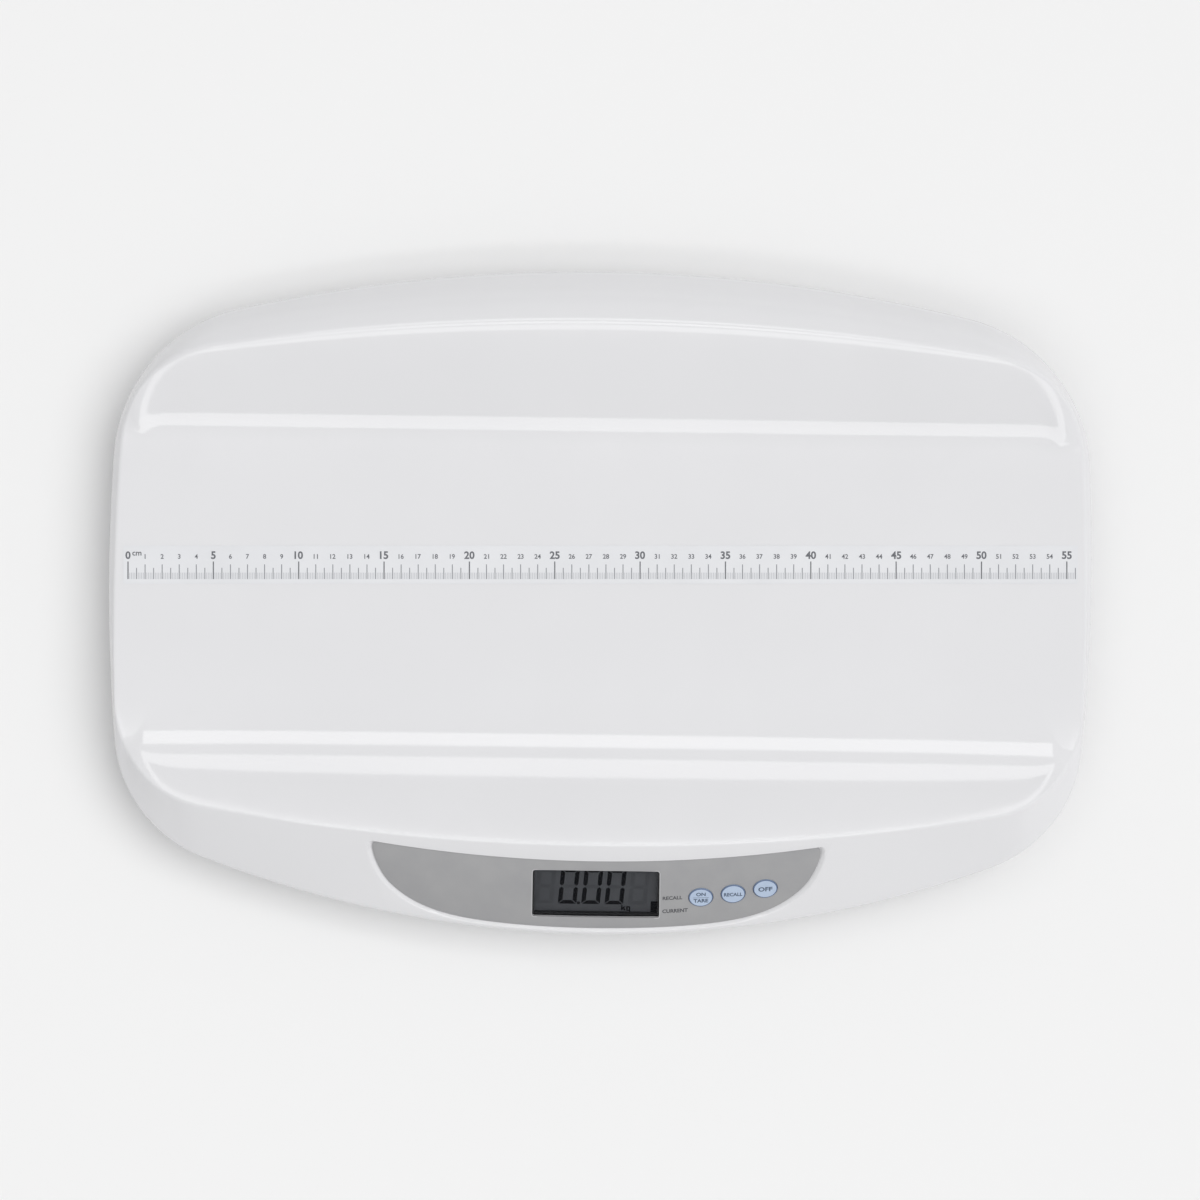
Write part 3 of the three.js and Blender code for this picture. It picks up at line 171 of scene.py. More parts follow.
# The recess of the panel: at its ends, its upper and its lower edge, how far its mouth stands out and how
# steeply it narrows, then the depth and the share of the lip's width for each step of its rounded lip
pocket_depth = 2
pocket_mouth = (2.3, 0.6, 1.5)
pocket_slope = (1, 0.15, 0.6)
pocket_lip = 0.35
pocket_steps = ((-4, 3), (-0.08, 2), (0, 1), (0.05, 0.6), (0.15, 0.28), (0.35, 0))
film_steps = ((0, -0.12), (0.04, -0.03), (0.12, 0), (panel_thickness, 0))
panel_steps = 120
display_length = 74.3
display_width = 32.5
display_place = 24.2
display_corner = 1.3
window_thickness = 1.5
window_round = 0.2
window_line = (0.32, 0.85)
# The crystal's figures and their left edges, the decimal point, the pointer and the unit's lower left corner
figure_size = dict(low=-10.3, width=10.9, height=24.9, stroke=2.5, slant=0.078, gap=0.36)
figure_places = (-36.0, -22.3, -8.6, 5.1, 18.8)
figure_point = ((-11.0, -10.4), (-9.4, -10.4), (-9.3, -8.7), (-10.9, -8.7))
pointer = ((32.2, -16.4), (37.2, -16.4), (37.2, -7.8), (32.2, -7.8))
unit_place = (14.9, -14.5)
glass_depth = 5.9
keys = {"on_tare": (61.9, 20.2), "recall": (80.9, 20.5), "off": (99.8, 21.2)}
key_half_length = 7.1
key_half_width = 6.35
# Keys, with depths below the console's skin. The darkened edge runs in as far as key_line.
key_top = 0.6
key_line = -0.6
crown_depth = key_top - 0.03
key_crown = ((key_top, key_line), (key_top - 0.02, -2.2), (crown_depth, -4.6))
key_edge_round = 0.4
key_edge_angles = (0.4, 0.8, 1.2, math.pi / 2)
key_flange_reach = 1.1
key_flange_top = 4.3
key_flange_bottom = 5.1
key_stem_radius = 2
key_stem_top = 4.6
key_stem_end = -10.8
key_rule_half_width = 0.12
letter_bold = 0.03
# Print: the text, its middle, and its height and width
panel_legends = (("RECALL", (45.2, 20.9), 2.2, 11.6), ("CURRENT", (46.8, 12.9), 2.3, 15))
key_legends = {"on_tare": (("ON", (0, 2.4), 2.4, 5.6), ("TARE", (0, -2.1), 2.5, 8.6)),
               "recall": (("RECALL", (0, -0.2), 2.5, 10.9),), "off": (("OFF", (0, -0.1), 3.1, 8.3),)}
key_rules = {"on_tare": 4.7}

# Ruler
ruler_y = 22.5
ruler_turn = 0.8
ruler_top = 42.3
ruler_zero = -276.8
ruler_foot = -8.5
ruler_marks = {50: ("long", 10.3, 0.34), 10: ("short", 8.6, 0.27), 5: ("short", 6.6, 0.25),
               1: ("fine", 3.8, 0.19)}
ruler_count = 556
# Figures at every fifth centimetre and at the others: their set, place above the middle, height and boldness
ruler_main_figures = ("long", 5.5, 4.6, letter_bold)
ruler_small_figures = ("figures", 4.75, 2.8, 0.02)
ruler_unit = ("cm", (ruler_zero + 5.2, 6.4), 2.3)
ruler_unit_width = 5.4
ruler_unit_bold = 0.02
ink_lift = 0.03


def linear(colour):
    """Turns a hex colour as the eye sees it into the linear one that the renderer uses."""
    channels = [int(colour[i:i + 2], 16) / 255 for i in (1, 3, 5)]
    return tuple(c / 12.92 if c <= 0.04045 else ((c + 0.055) / 1.055) ** 2.4 for c in channels) + (1.0,)


# Materials

def add(tree, kind, settings=None, links=None):
    """Adds a node, gives its properties and sockets their values, and links its inputs."""
    node = tree.nodes.new(kind)
    for name, value in (settings or {}).items():
        if isinstance(name, int) or name in node.inputs:
            node.inputs[name].default_value = value
        else:
            setattr(node, name, value)
    for name, source in (links or {}).items():
        tree.links.new(source, node.inputs[name])
    return node


def finish(name, colours, rough, grain, mottle=60, detail=3, clear=None, **sockets):
    """A surface of two close colours in soft patches, a roughness that wanders between two values,
    and a relief given as (size of its pattern, height) pairs. All lengths are in millimetres."""
    material = bpy.data.materials.new(name)
    material.use_nodes = True
    tree = material.node_tree
    shader = tree.nodes["Principled BSDF"]
    place = add(tree, "ShaderNodeTexCoord").outputs["Object"]
    patches = add(tree, "ShaderNodeTexNoise",
                  {"Scale": 1 / (mottle * MM), "Detail": detail, "Roughness": 0.55}, {"Vector": place})
    ramp = add(tree, "ShaderNodeValToRGB", {}, {"Fac": patches.outputs["Fac"]})
    ramp.color_ramp.elements[0].position = 0.3
    ramp.color_ramp.elements[0].color = linear(colours[0])
    ramp.color_ramp.elements[1].position = 0.7
    ramp.color_ramp.elements[1].color = linear(colours[1])
    tree.links.new(ramp.outputs["Color"], shader.inputs["Base Color"])
    wander = add(tree, "ShaderNodeTexNoise", {"Scale": 4 / (mottle * MM), "Detail": 4.0}, {"Vector": place})
    spread = add(tree, "ShaderNodeMapRange", {"To Min": rough[0], "To Max": rough[1]},
                 {"Value": wander.outputs["Fac"]})
    tree.links.new(spread.outputs["Result"], shader.inputs["Roughness"])
    normal = None
    for size, height in grain:
        relief = add(tree, "ShaderNodeTexNoise", {"Scale": 1 / (size * MM), "Detail": 2.0}, {"Vector": place})
        links = {"Height": relief.outputs["Fac"]}
        if normal:
            links["Normal"] = normal
        bump = add(tree, "ShaderNodeBump", {"Strength": 1.0, "Distance": height * MM}, links)
        normal = bump.outputs["Normal"]
    if normal:
        tree.links.new(normal, shader.inputs["Normal"])
    for socket, value in sockets.items():
        shader.inputs[socket.replace("_", " ")].default_value = value
    if clear is not None:
        shader.inputs["Alpha"].default_value = clear
    return material


def ink(name, colours):
    """A thin satin layer of screen ink or lacquer."""
    return finish(name, colours, (0.4, 0.5), [(0.3, 0.001)], mottle=3, IOR=1.5)


# ABS from a polished mould: a clean gloss with the faintest waviness where the wall cooled
polished_abs = finish("polished white ABS", ("#E2E2E4", "#E4E4E6"), (0.05, 0.09),
                      [(14, 0.012), (2.2, 0.0006)], mottle=120, IOR=1.53)
# ABS from a spark-eroded mould: a fine even grain, drawn at half a millimetre so that it shows
eroded_abs = finish("spark-eroded white ABS", ("#E2E2E5", "#E8E8EA"), (0.42, 0.5),
                    [(0.55, 0.012), (0.2, 0.004)], mottle=40, IOR=1.53)
eroded_grey_abs = finish("spark-eroded grey ABS", ("#CDCED2", "#D6D7DA"), (0.46, 0.56),
                         [(0.7, 0.018), (0.25, 0.005)], mottle=30, IOR=1.53)
# Moulded rubber: nearly matt, with a bloom of paler dust
moulded_rubber = finish("moulded grey rubber", ("#2E2F31", "#45464A"), (0.78, 0.92),
                        [(0.9, 0.03), (0.3, 0.01)], mottle=7, detail=6, IOR=1.52)
# Polyester film printed grey on its back and embossed with a fine velvet grain
printed_film = finish("velvet polyester film", ("#9C9C9E", "#A2A2A3"), (0.38, 0.46), [(0.35, 0.006)],
                      mottle=18, detail=5, IOR=1.57)
# White vinyl film under a clear satin laminate
vinyl_film = finish("satin vinyl film", ("#DADBDE", "#DEDFE2"), (0.3, 0.36), [(3, 0.004), (0.6, 0.001)],
                    mottle=35, IOR=1.5)
# Pale blue ABS caps with a satin top
satin_blue_abs = finish("satin blue ABS", ("#B0C0D7", "#B6C6DC"), (0.36, 0.44), [(0.4, 0.005)],
                        mottle=5, IOR=1.53)
# Cast acrylic: clear, hard and glossy, with a slight grey in its depth
cast_acrylic = finish("clear cast acrylic", ("#1E1F22", "#242528"), (0.03, 0.06), [(20, 0.006)],
                      mottle=30, clear=0.1, IOR=1.49, Specular_IOR_Level=0.2)
# The display's front polariser: neutral dark film on glass
polariser = finish("dark polariser film", ("#515357", "#56585C"), (0.34, 0.42), [(0.5, 0.0015)],
                   mottle=9, IOR=1.5, Specular_IOR_Level=0.15)
black_abs = finish("matt black ABS", ("#1C1D1F", "#242527"), (0.5, 0.62), [(0.5, 0.01)], mottle=8, IOR=1.53)
silicone = finish("pale silicone", ("#D6D3CB", "#DDDAD3"), (0.55, 0.66), [(0.8, 0.008)], mottle=5, IOR=1.41)
# Glass-epoxy board: green solder mask over the weave of the glass cloth
solder_mask = finish("green solder mask on laminate", ("#1B6136", "#23713F"), (0.3, 0.4), [(0.45, 0.01)],
                     mottle=6, detail=6, IOR=1.55)
moulded_epoxy = finish("black moulded epoxy", ("#19191B", "#222225"), (0.5, 0.6), [(0.25, 0.006)],
                       mottle=3, IOR=1.55)
# Milled bar, clear anodised: fine cutter marks under a soft sheen
anodised_bar = finish("clear anodised aluminium", ("#B4B7BB", "#C2C4C8"), (0.3, 0.42), [(0.6, 0.008)],
                      mottle=9, Metallic=1.0)
zinc_steel = finish("zinc plated steel", ("#9A9DA2", "#B0B2B4"), (0.24, 0.4), [(1.2, 0.006), (0.3, 0.003)],
                    mottle=3, detail=6, Metallic=1.0)
nickel_steel = finish("nickel plated spring steel", ("#A7A49C", "#B8B5AD"), (0.2, 0.32), [(0.5, 0.003)],
                      mottle=3, Metallic=1.0)
cell_sleeve = finish("printed battery sleeve", ("#35435A", "#3F4D64"), (0.22, 0.3), [(2.5, 0.004)],
                     mottle=12, IOR=1.5)
lead_sheath = finish("grey flexible sheath", ("#515459", "#5B5E63"), (0.5, 0.62), [(0.8, 0.01)],
                     mottle=5, IOR=1.53)
# Inks lie on the film as a thin satin layer
dark_ink = ink("dark screen ink", ("#585A60", "#606268"))
pale_ink = ink("pale grey screen ink", ("#B6B8BD", "#BCBEC2"))
grey_ink = ink("grey screen ink", ("#7E8086", "#86888D"))
legend_ink = ink("legend screen ink", ("#4A4B4F", "#525357"))
blue_ink = ink("slate blue edge lacquer", ("#5A6B8B", "#647595"))
key_ink = ink("slate screen ink", ("#465469", "#4E5C71"))
# A pale line round the display's window, with the same satin surface as the inks
window_line_finish = ink("pale frame ink", ("#B9B9BB", "#BEBEC0"))
# Liquid crystal, switched on and at rest
crystal_on = finish("switched crystal", ("#0B0C10", "#101115"), (0.34, 0.42), [(0.4, 0.001)],
                    mottle=4, IOR=1.5, Specular_IOR_Level=0.05)
crystal_rest = finish("resting crystal", ("#4A4C50", "#4D4F53"), (0.34, 0.42), [(0.4, 0.001)],
                      mottle=4, IOR=1.5, Specular_IOR_Level=0.15)


# Outlines, anticlockwise from the middle of the front, each point with its outward normal

def arc_points(centre, radius, start, end, steps):
    angles = [start + (end - start) * i / steps for i in range(steps)]
    normals = [Vector((math.cos(a), math.sin(a))) for a in angles]
    return [(centre + normal * radius, normal) for normal in normals]


def line_points(start, end, normal, steps):
    return [(start.lerp(end, i / steps), normal) for i in range(steps)]


def mirrored(half):
    left = [(Vector((-place.x, place.y)), Vector((-normal.x, normal.y))) for place, normal in half[-2:0:-1]]
    return half + left


def corner_centre(long, long_radius, side, side_radius, corner_radius, turn):
    reach_long = long_radius - corner_radius
    reach_side = side_radius - corner_radius
    between = side - long
    distance = between.length
    along = (reach_long ** 2 - reach_side ** 2 + distance ** 2) / (2 * distance)
    across = math.sqrt(reach_long ** 2 - along ** 2)
    unit = between / distance
    return long + unit * along + Vector((-unit.y, unit.x)) * turn * across


def front_arc(edge):
    centre = Vector((0, edge["front_radius"] - edge["front"]))
    side = Vector((edge["half_length"] - edge["side_radius"], edge["side_centre"]))
    corner = corner_centre(centre, edge["front_radius"], side, edge["side_radius"], edge["front_corner"], 1)
    spoke = corner - centre
    end = math.atan2(spoke.y, spoke.x)
    return centre, corner, end, end + math.pi / 2


def barrel_loop(edge):
    """An outline of four long arcs joined by corner arcs."""
    front, front_corner, front_end, _ = front_arc(edge)
    side = Vector((edge["half_length"] - edge["side_radius"], edge["side_centre"]))
    back = Vector((0, edge["back"] - edge["back_radius"]))
    back_corner = corner_centre(back, edge["back_radius"], side, edge["side_radius"], edge["back_corner"], -1)
    side_start = math.atan2(front_corner.y - side.y, front_corner.x - side.x)
    side_end = math.atan2(back_corner.y - side.y, back_corner.x - side.x)
    back_start = math.atan2(back_corner.y - back.y, back_corner.x - back.x)
    counts = loop_counts
    half = arc_points(front, edge["front_radius"], -math.pi / 2, front_end, counts["front"])
    half += arc_points(front_corner, edge["front_corner"], front_end, side_start, counts["corner"])
    half += arc_points(side, edge["side_radius"], side_start, side_end, counts["side"])
    half += arc_points(back_corner, edge["back_corner"], side_end, back_start, counts["corner"])
    half += arc_points(back, edge["back_radius"], back_start, math.pi / 2, counts["back"])
    half.append((Vector((0, edge["back"])), Vector((0, 1))))
    return mirrored(half)


def box_loop(edge):
    """An outline of straight sides joined by small corner arcs, with as many points as a barrel loop."""
    reach, back, front, corner = (edge[name] for name in ("half_length", "back", "front", "corner"))
    inner = reach - corner
    counts = loop_counts
    half = line_points(Vector((0, -front)), Vector((inner, -front)), Vector((0, -1)), counts["front"])
    half += arc_points(Vector((inner, corner - front)), corner, -math.pi / 2, 0, counts["corner"])
    half += line_points(Vector((reach, corner - front)), Vector((reach, back - corner)), Vector((1, 0)),
                        counts["side"])
    half += arc_points(Vector((inner, back - corner)), corner, 0, math.pi / 2, counts["corner"])
    half += line_points(Vector((inner, back)), Vector((0, back)), Vector((0, 1)), counts["back"])
    half.append((Vector((0, back)), Vector((0, 1))))
    return mirrored(half)


def rounded_corner(before, corner, after, reach, steps=round_steps):
    """A curve that takes the place of a section's corner."""
    to_before = before - corner
    to_after = after - corner
    start = corner + to_before.normalized() * min(reach, corner_share * to_before.length)
    end = corner + to_after.normalized() * min(reach, corner_share * to_after.length)
    points = []
    for i in range(steps + 1):
        t = i / steps
        points.append(start * (1 - t) ** 2 + corner * 2 * t * (1 - t) + end * t ** 2)
    return points


def at(place, height):
    return Vector((place.x, place.y, height))


def tray_height(y):
    rise = crest_height - floor_height
    back_slope = rise / (crest_edge["back"] - crease_edge["back"])
    front_slope = rise / (crest_edge["front"] - crease_edge["front"])
    back_way = max(0, y - crease_edge["back"])
    front_way = max(0, -y - crease_edge["front"])
    return floor_height + back_slope * back_way + front_slope * front_way


def smoothstep(value, low, high):
    share = min(1, max(0, (value - low) / (high - low)))
    return share * share * (3 - 2 * share)


def tray_section(edge, crest, crease, floor, front_round):
    """The tray's skin from the bottom of its skirt to its flat floor."""
    bottom = at(edge, skirt_bottom)
    rim = at(edge, edge_height)
    top = at(crest, tray_height(crest.y))
    foot = at(crease, tray_height(crease.y))
    flat = at(floor, floor_height)
    middle = rim.lerp(top, 0.5)
    backness = smoothstep(crest.y, crease_edge["back"], crest_edge["back"])
    middle.z += crown_share * (top.z - rim.z) * backness
    crest_round = front_round + (back_crest_round - front_round) * backness
    crease_round = back_crease_round if crease.y > 0 else front_crease_round
    return [
        bottom,
        *rounded_corner(bottom, rim, middle, edge_round),
        *rounded_corner(rim, middle, top, rim_round),
        *rounded_corner(middle, top, foot, crest_round),
        *rounded_corner(top, foot, flat, crease_round),
        flat,
    ]


# Console surface

edge_front = front_arc(tray_edge)
crest_front = front_arc(crest_edge)


def console_span(share):
    ends = []
    for front, edge in ((edge_front, tray_edge), (crest_front, crest_edge)):
        angle = share * front[3] - math.pi / 2
        ends.append(front[0] + Vector((math.cos(angle), math.sin(angle))) * edge["front_radius"])
    width = (ends[0] - ends[1]).length
    return at(ends[0], edge_height), at(ends[1], tray_height(ends[1].y)), width


def console_point(share, distance):
    edge, crest, width = console_span(share)
    return edge.lerp(crest, distance / width)


def console_frame(x, distance):
    """The console's point at a place along it and a distance in from the tray's edge, with its directions."""
    share = math.asin(x / tray_edge["front_radius"]) / edge_front[3]
    edge, crest, width = console_span(share)
    up_slope = (crest - edge).normalized()
    ahead = console_point(share + direction_step, distance)
    behind = console_point(share - direction_step, distance)
    normal = (ahead - behind).normalized().cross(up_slope).normalized()
    return console_point(share, distance), up_slope.cross(normal), up_slope, normal


def on_console(x, distance, depth):
    origin, _, _, normal = console_frame(x, distance)
    return origin - normal * depth


display_origin, display_right, display_up, display_normal = console_frame(0, display_place)
display_turn = Matrix((display_right, display_up, display_normal)).transposed().to_4x4()
display_matrix = Matrix.Translation(display_origin) @ display_turn


def on_display(x, rise, depth):
    return display_matrix @ Vector((x, rise, -depth))


# Making meshes

def ring(bm, places):
    """A closed loop of vertices."""
    verts = [bm.verts.new(Vector(place) * MM) for place in places]
    for i in range(len(verts)):
        bm.edges.new((verts[i - 1], verts[i]))
    return verts


def pull(bm, verts, places):
    """Extrudes a closed loop to new places."""
    edges = [bm.edges.get((verts[i - 1], verts[i])) for i in range(len(verts))]
    made = set(bmesh.ops.extrude_edge_only(bm, edges=edges)["geom"])
    pulled = []
    for vert, place in zip(verts, places):
        twin = next(edge.other_vert(vert) for edge in vert.link_edges if edge.other_vert(vert) in made)
        twin.co = Vector(place) * MM
        pulled.append(twin)
    return pulled


def loft(bm, rings, start_cap=True, end_cap=True):
    """A skin from ring to ring, closed at either end or left open, of which it returns the first ring."""
    first = verts = ring(bm, rings[0])
    if start_cap:
        bm.faces.new(first)
    for places in rings[1:]:
        verts = pull(bm, verts, places)
    if end_cap:
        bm.faces.new(verts)
    return first


def block(bm, x, y, z, matrix=Matrix()):
    centre = Vector((sum(x), sum(y), sum(z))) / 2
    size = Matrix.Diagonal((x[1] - x[0], y[1] - y[0], z[1] - z[0], 1))
    bmesh.ops.create_cube(bm, size=1, matrix=Matrix.Scale(MM, 4) @ matrix @ Matrix.Translation(centre) @ size)


def drum(bm, radius, z, x, y, segments=48, top_radius=None, matrix=Matrix()):
    lift = Matrix.Translation((x, y, sum(z) / 2))
    bmesh.ops.create_cone(bm, cap_ends=True, segments=segments, radius1=radius, depth=z[1] - z[0],
                          radius2=radius if top_radius is None else top_radius,
                          matrix=Matrix.Scale(MM, 4) @ matrix @ lift)


def turned(profile, matrix=Matrix(), segments=48):
    """Spins a profile of (radius, height) points about the upright axis and closes it at the poles."""
    bm = bmesh.new()
    verts = [bm.verts.new((radius, 0, height)) for radius, height in profile]
    edges = [bm.edges.new(pair) for pair in zip(verts, verts[1:])]
    bmesh.ops.spin(bm, geom=verts + edges, cent=(0, 0, 0), axis=(0, 0, 1), angle=2 * math.pi, steps=segments,
                   use_merge=True)
    bmesh.ops.remove_doubles(bm, verts=bm.verts, dist=weld_distance)
    bmesh.ops.transform(bm, matrix=Matrix.Scale(MM, 4) @ matrix, verts=bm.verts)
    return bm


def rounded_outline(half_length, half_width, corner, steps=10):
    places = []
    for turn, (side_x, side_y) in enumerate(((1, 1), (-1, 1), (-1, -1), (1, -1))):
        centre = Vector((side_x * (half_length - corner), side_y * (half_width - corner)))
        for i in range(steps + 1):
            angle = math.pi / 2 * (turn + i / steps)
            places.append(centre + Vector((math.cos(angle), math.sin(angle))) * corner)
    return places


def key_outline(grow, steps=64):
    """The oval of a key, grown all round."""
    angles = [2 * math.pi * i / steps for i in range(steps)]
    length, width = key_half_length + grow, key_half_width + grow
    return [Vector((length * math.cos(a), width * math.sin(a))) for a in angles]


def blocks(*spans, matrix=Matrix()):
    """A new mesh with a box over each set of three spans."""
    bm = bmesh.new()
    for span in spans:
        block(bm, *span, matrix)
    return bm


def drums(places, radius, z, segments=48):
    """A new mesh with a drum at each place."""
    bm = bmesh.new()
    for x, y in places:
        drum(bm, radius, z, x, y, segments)
    return bm


def prism(bm, outline, z, matrix=Matrix()):
    loft(bm, [[matrix @ at(place, height) for place in outline] for height in z])


def place_in_scene(name, data):
    made = bpy.data.objects.new(name, data)
    bpy.context.scene.collection.objects.link(made)
    return made


def piece(name, bm, finish_of, body, replaces=(), sharp=35, printed=False):
    """Makes an object of a mesh, smooth between its sharp edges. Print is flat and faces up already."""
    if not printed:
        bmesh.ops.recalc_face_normals(bm, faces=bm.faces)
    mesh = bpy.data.meshes.new(name)
    bm.to_mesh(mesh)
    bm.free()
    mesh.materials.append(finish_of)
    made = place_in_scene(name, mesh)
    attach(made, body)
    if replaces:
        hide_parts(*replaces)
    smooth(made, sharp)
    return made


def smooth(made, sharp=35):
    made.data.shade_smooth()
    made.data.set_sharp_from_angle(angle=math.radians(sharp))


def settle(made):
    """Puts what the modifiers make into the object's own mesh."""
    graph = bpy.context.evaluated_depsgraph_get()
    result = bpy.data.meshes.new_from_object(made.evaluated_get(graph))
    made.modifiers.clear()
    old = made.data
    made.data = result
    result.name = made.name
    bpy.data.meshes.remove(old)


def carve(made, operation, tool):
    """Joins a solid to a piece, cuts it away, or keeps what the two share."""
    bmesh.ops.recalc_face_normals(tool, faces=tool.faces)
    mesh = bpy.data.meshes.new("tool")
    tool.to_mesh(mesh)
    tool.free()
    mesh.materials.append(made.data.materials[0])
    helper = place_in_scene("tool", mesh)
    modifier = made.modifiers.new("carve", "BOOLEAN")
    modifier.operation = operation
    modifier.solver = "EXACT"
    modifier.use_self = True
    modifier.object = helper
    settle(made)
    bpy.data.objects.remove(helper)
    bpy.data.meshes.remove(mesh)


def soften(made, width, segments=2, angle=35):
    """Rounds every sharp edge a little, as a mould or a deburring tool leaves it."""
    modifier = made.modifiers.new("soften", "BEVEL")
    modifier.width = width * MM
    modifier.segments = segments
    modifier.limit_method = "ANGLE"
    modifier.angle_limit = math.radians(angle)
    modifier.use_clamp_overlap = True
    settle(made)


def dress(material, *names):
    """Gives CAD nodes their material."""
    for name in names:
        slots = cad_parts[name].data.materials
        slots.clear()
        slots.append(material)


def letters(bm, text, centre, height, onto, width=None, bold=0.0):
    """Adds a line of figures or letters, of a given height and width, laid onto a surface."""
    curve = bpy.data.curves.new("letters", "FONT")
    curve.body = text
    curve.offset = bold
    curve.resolution_u = 4
    helper = place_in_scene("letters", curve)
    mesh = bpy.data.meshes.new_from_object(helper.evaluated_get(bpy.context.evaluated_depsgraph_get()))
    known = set(bm.verts)
    bm.from_mesh(mesh)
    fresh = [vert for vert in bm.verts if vert not in known]
    spans = [(min(vert.co[axis] for vert in fresh), max(vert.co[axis] for vert in fresh)) for axis in (0, 1)]
    (left, right), (low, high) = spans
    tall = height / (high - low)
    wide = width / (right - left) if width else tall
    for vert in fresh:
        x = centre[0] + (vert.co.x - (left + right) / 2) * wide
        y = centre[1] + (vert.co.y - (low + high) / 2) * tall
        vert.co = onto(x, y) * MM
    bpy.data.objects.remove(helper)
    bpy.data.curves.remove(curve)
    bpy.data.meshes.remove(mesh)


def patch(bm, outline, onto):
    """Adds one flat printed patch with a given outline."""
    bm.faces.new([bm.verts.new(onto(x, y) * MM) for x, y in outline])


def band(bm, inner, outer, onto):
    """Adds a printed line between two outlines."""
    loops = []
    for outline in (inner, outer):
        verts = [bm.verts.new(onto(x, y) * MM) for x, y in outline]
        loops += [bm.edges.new((verts[i - 1], verts[i])) for i in range(len(verts))]
    faces = bmesh.ops.bridge_loops(bm, edges=loops)["faces"]
    bmesh.ops.recalc_face_normals(bm, faces=faces)
    if faces[0].normal.z < 0:
        bmesh.ops.reverse_faces(bm, faces=faces)


# Tray

def panel_edges(share, grow_ends, grow_upper, grow_lower):
    past = max(0, abs(share) * panel_half_length + panel_tip_round - panel_half_length) / panel_tip_round
    drop = panel_tip_round * (1 - math.sqrt(max(0, 1 - past ** 2)))
    upper = panel_upper - panel_upper_drop * share ** 2 - drop
    near = max(0, abs(share) * panel_half_length + panel_rise_reach - panel_half_length) / panel_rise_reach
    rise = panel_rise * (1 - math.sqrt(max(0, 1 - near ** panel_rise_power)))
    lower = panel_lower + (panel_tip - panel_lower) * abs(share) ** panel_tip_power + rise
    return share * (panel_half_length + grow_ends), upper + grow_upper, lower - grow_lower


def console_sheet(bm, levels):
    """A sheet with the panel's outline through levels of depth and growth: ends, upper and lower edge."""
    rings = []
    for i in range(panel_steps + 1):
        share = math.sin(math.pi * (i / panel_steps - 0.5))
        upper_side = []
        lower_side = []
        for depth, *grow in levels:
            x, upper, lower = panel_edges(share, *grow)
            upper_side.append(on_console(x, upper, depth))
            lower_side.append(on_console(x, lower, depth))
        rings.append(upper_side + lower_side[::-1])
    loft(bm, rings)


def pocket_tool(bm):
    """The room of the panel: steep at its upper edge, sloped at its ends and lower edge, with a soft lip."""
    levels = []
    for depth, share in pocket_steps:
        grow = (mouth - slope * max(0, depth) + pocket_lip * share
                for mouth, slope in zip(pocket_mouth, pocket_slope))
        levels.append((depth, *grow))
    levels.append((pocket_depth, fit_gap, fit_gap, fit_gap))
    console_sheet(bm, levels)


def key_matrix(name):
    x, distance = keys[name]
    origin, right, up, normal = console_frame(x, distance)
    return Matrix.Translation(origin) @ Matrix((right, up, normal)).transposed().to_4x4()


def display_outline(grow):
    return rounded_outline(display_length / 2 + grow, display_width / 2 + grow, display_corner + grow)


def display_tool(bm, grow, depth0, depth1):
    prism(bm, display_outline(grow), (-depth1, -depth0), display_matrix)


def tray_rings(front_round):
    loops = [barrel_loop(tray_edge), barrel_loop(crest_edge), box_loop(crease_edge), box_loop(floor_edge)]
    return list(zip(*(tray_section(*(point[0] for point in points), front_round) for points in zip(*loops))))


def under_tray(bm):
    """All that lies under the tray's wall, which is rounder at its crest inside than outside."""
    opening = loft(bm, tray_rings(back_crest_round), start_cap=False)
    bmesh.ops.recalc_face_normals(bm, faces=bm.faces)
    shifts = [vert.normal * vert.calc_shell_factor() * tray_wall * MM for vert in bm.verts]
    for vert, shift in zip(bm.verts, shifts):
        vert.co -= shift
    for vert in opening:
        vert.co.z = (skirt_bottom - overrun) * MM
    bm.faces.new(opening)


def build_tray():
    bm = bmesh.new()
    loft(bm, tray_rings(front_crest_round))
    tray = piece("tray_moulding", bm, polished_abs, "platform", ["tray"], sharp=40)
    for cut in (under_tray, pocket_tool):
        tool = bmesh.new()
        cut(tool)
        carve(tray, "DIFFERENCE", tool)
    tool = bmesh.new()
    display_tool(tool, fit_gap, -overrun, 2 * overrun)
    for name in keys:
        prism(tool, key_outline(fit_gap), (-2 * overrun, overrun), key_matrix(name))
    carve(tray, "DIFFERENCE", tool)
    smooth(tray, 30)


build_tray()


# Panel, window and display

def build_panel():
    bm = bmesh.new()
    console_sheet(bm, [(panel_depth + depth, grow, grow, grow) for depth, grow in film_steps])
    panel = piece("panel_film", bm, printed_film, "platform", ["control_panel"])
    tool = bmesh.new()
    display_tool(tool, fit_gap, -overrun, overrun)
    for name in keys:
        prism(tool, key_outline(fit_gap), (-overrun, overrun), key_matrix(name))
    carve(panel, "DIFFERENCE", tool)
    smooth(panel, 30)


def build_window():
    bm = bmesh.new()
    console_sheet(bm, [(panel_depth, 0, 0, 0), (panel_depth + window_thickness, 0, 0, 0)])
    window = piece("window_pane", bm, cast_acrylic, "platform", ["display_window"])
    tool = bmesh.new()
    display_tool(tool, 0, -overrun, overrun)
    carve(window, "INTERSECT", tool)
    soften(window, window_round)
    smooth(window, 40)


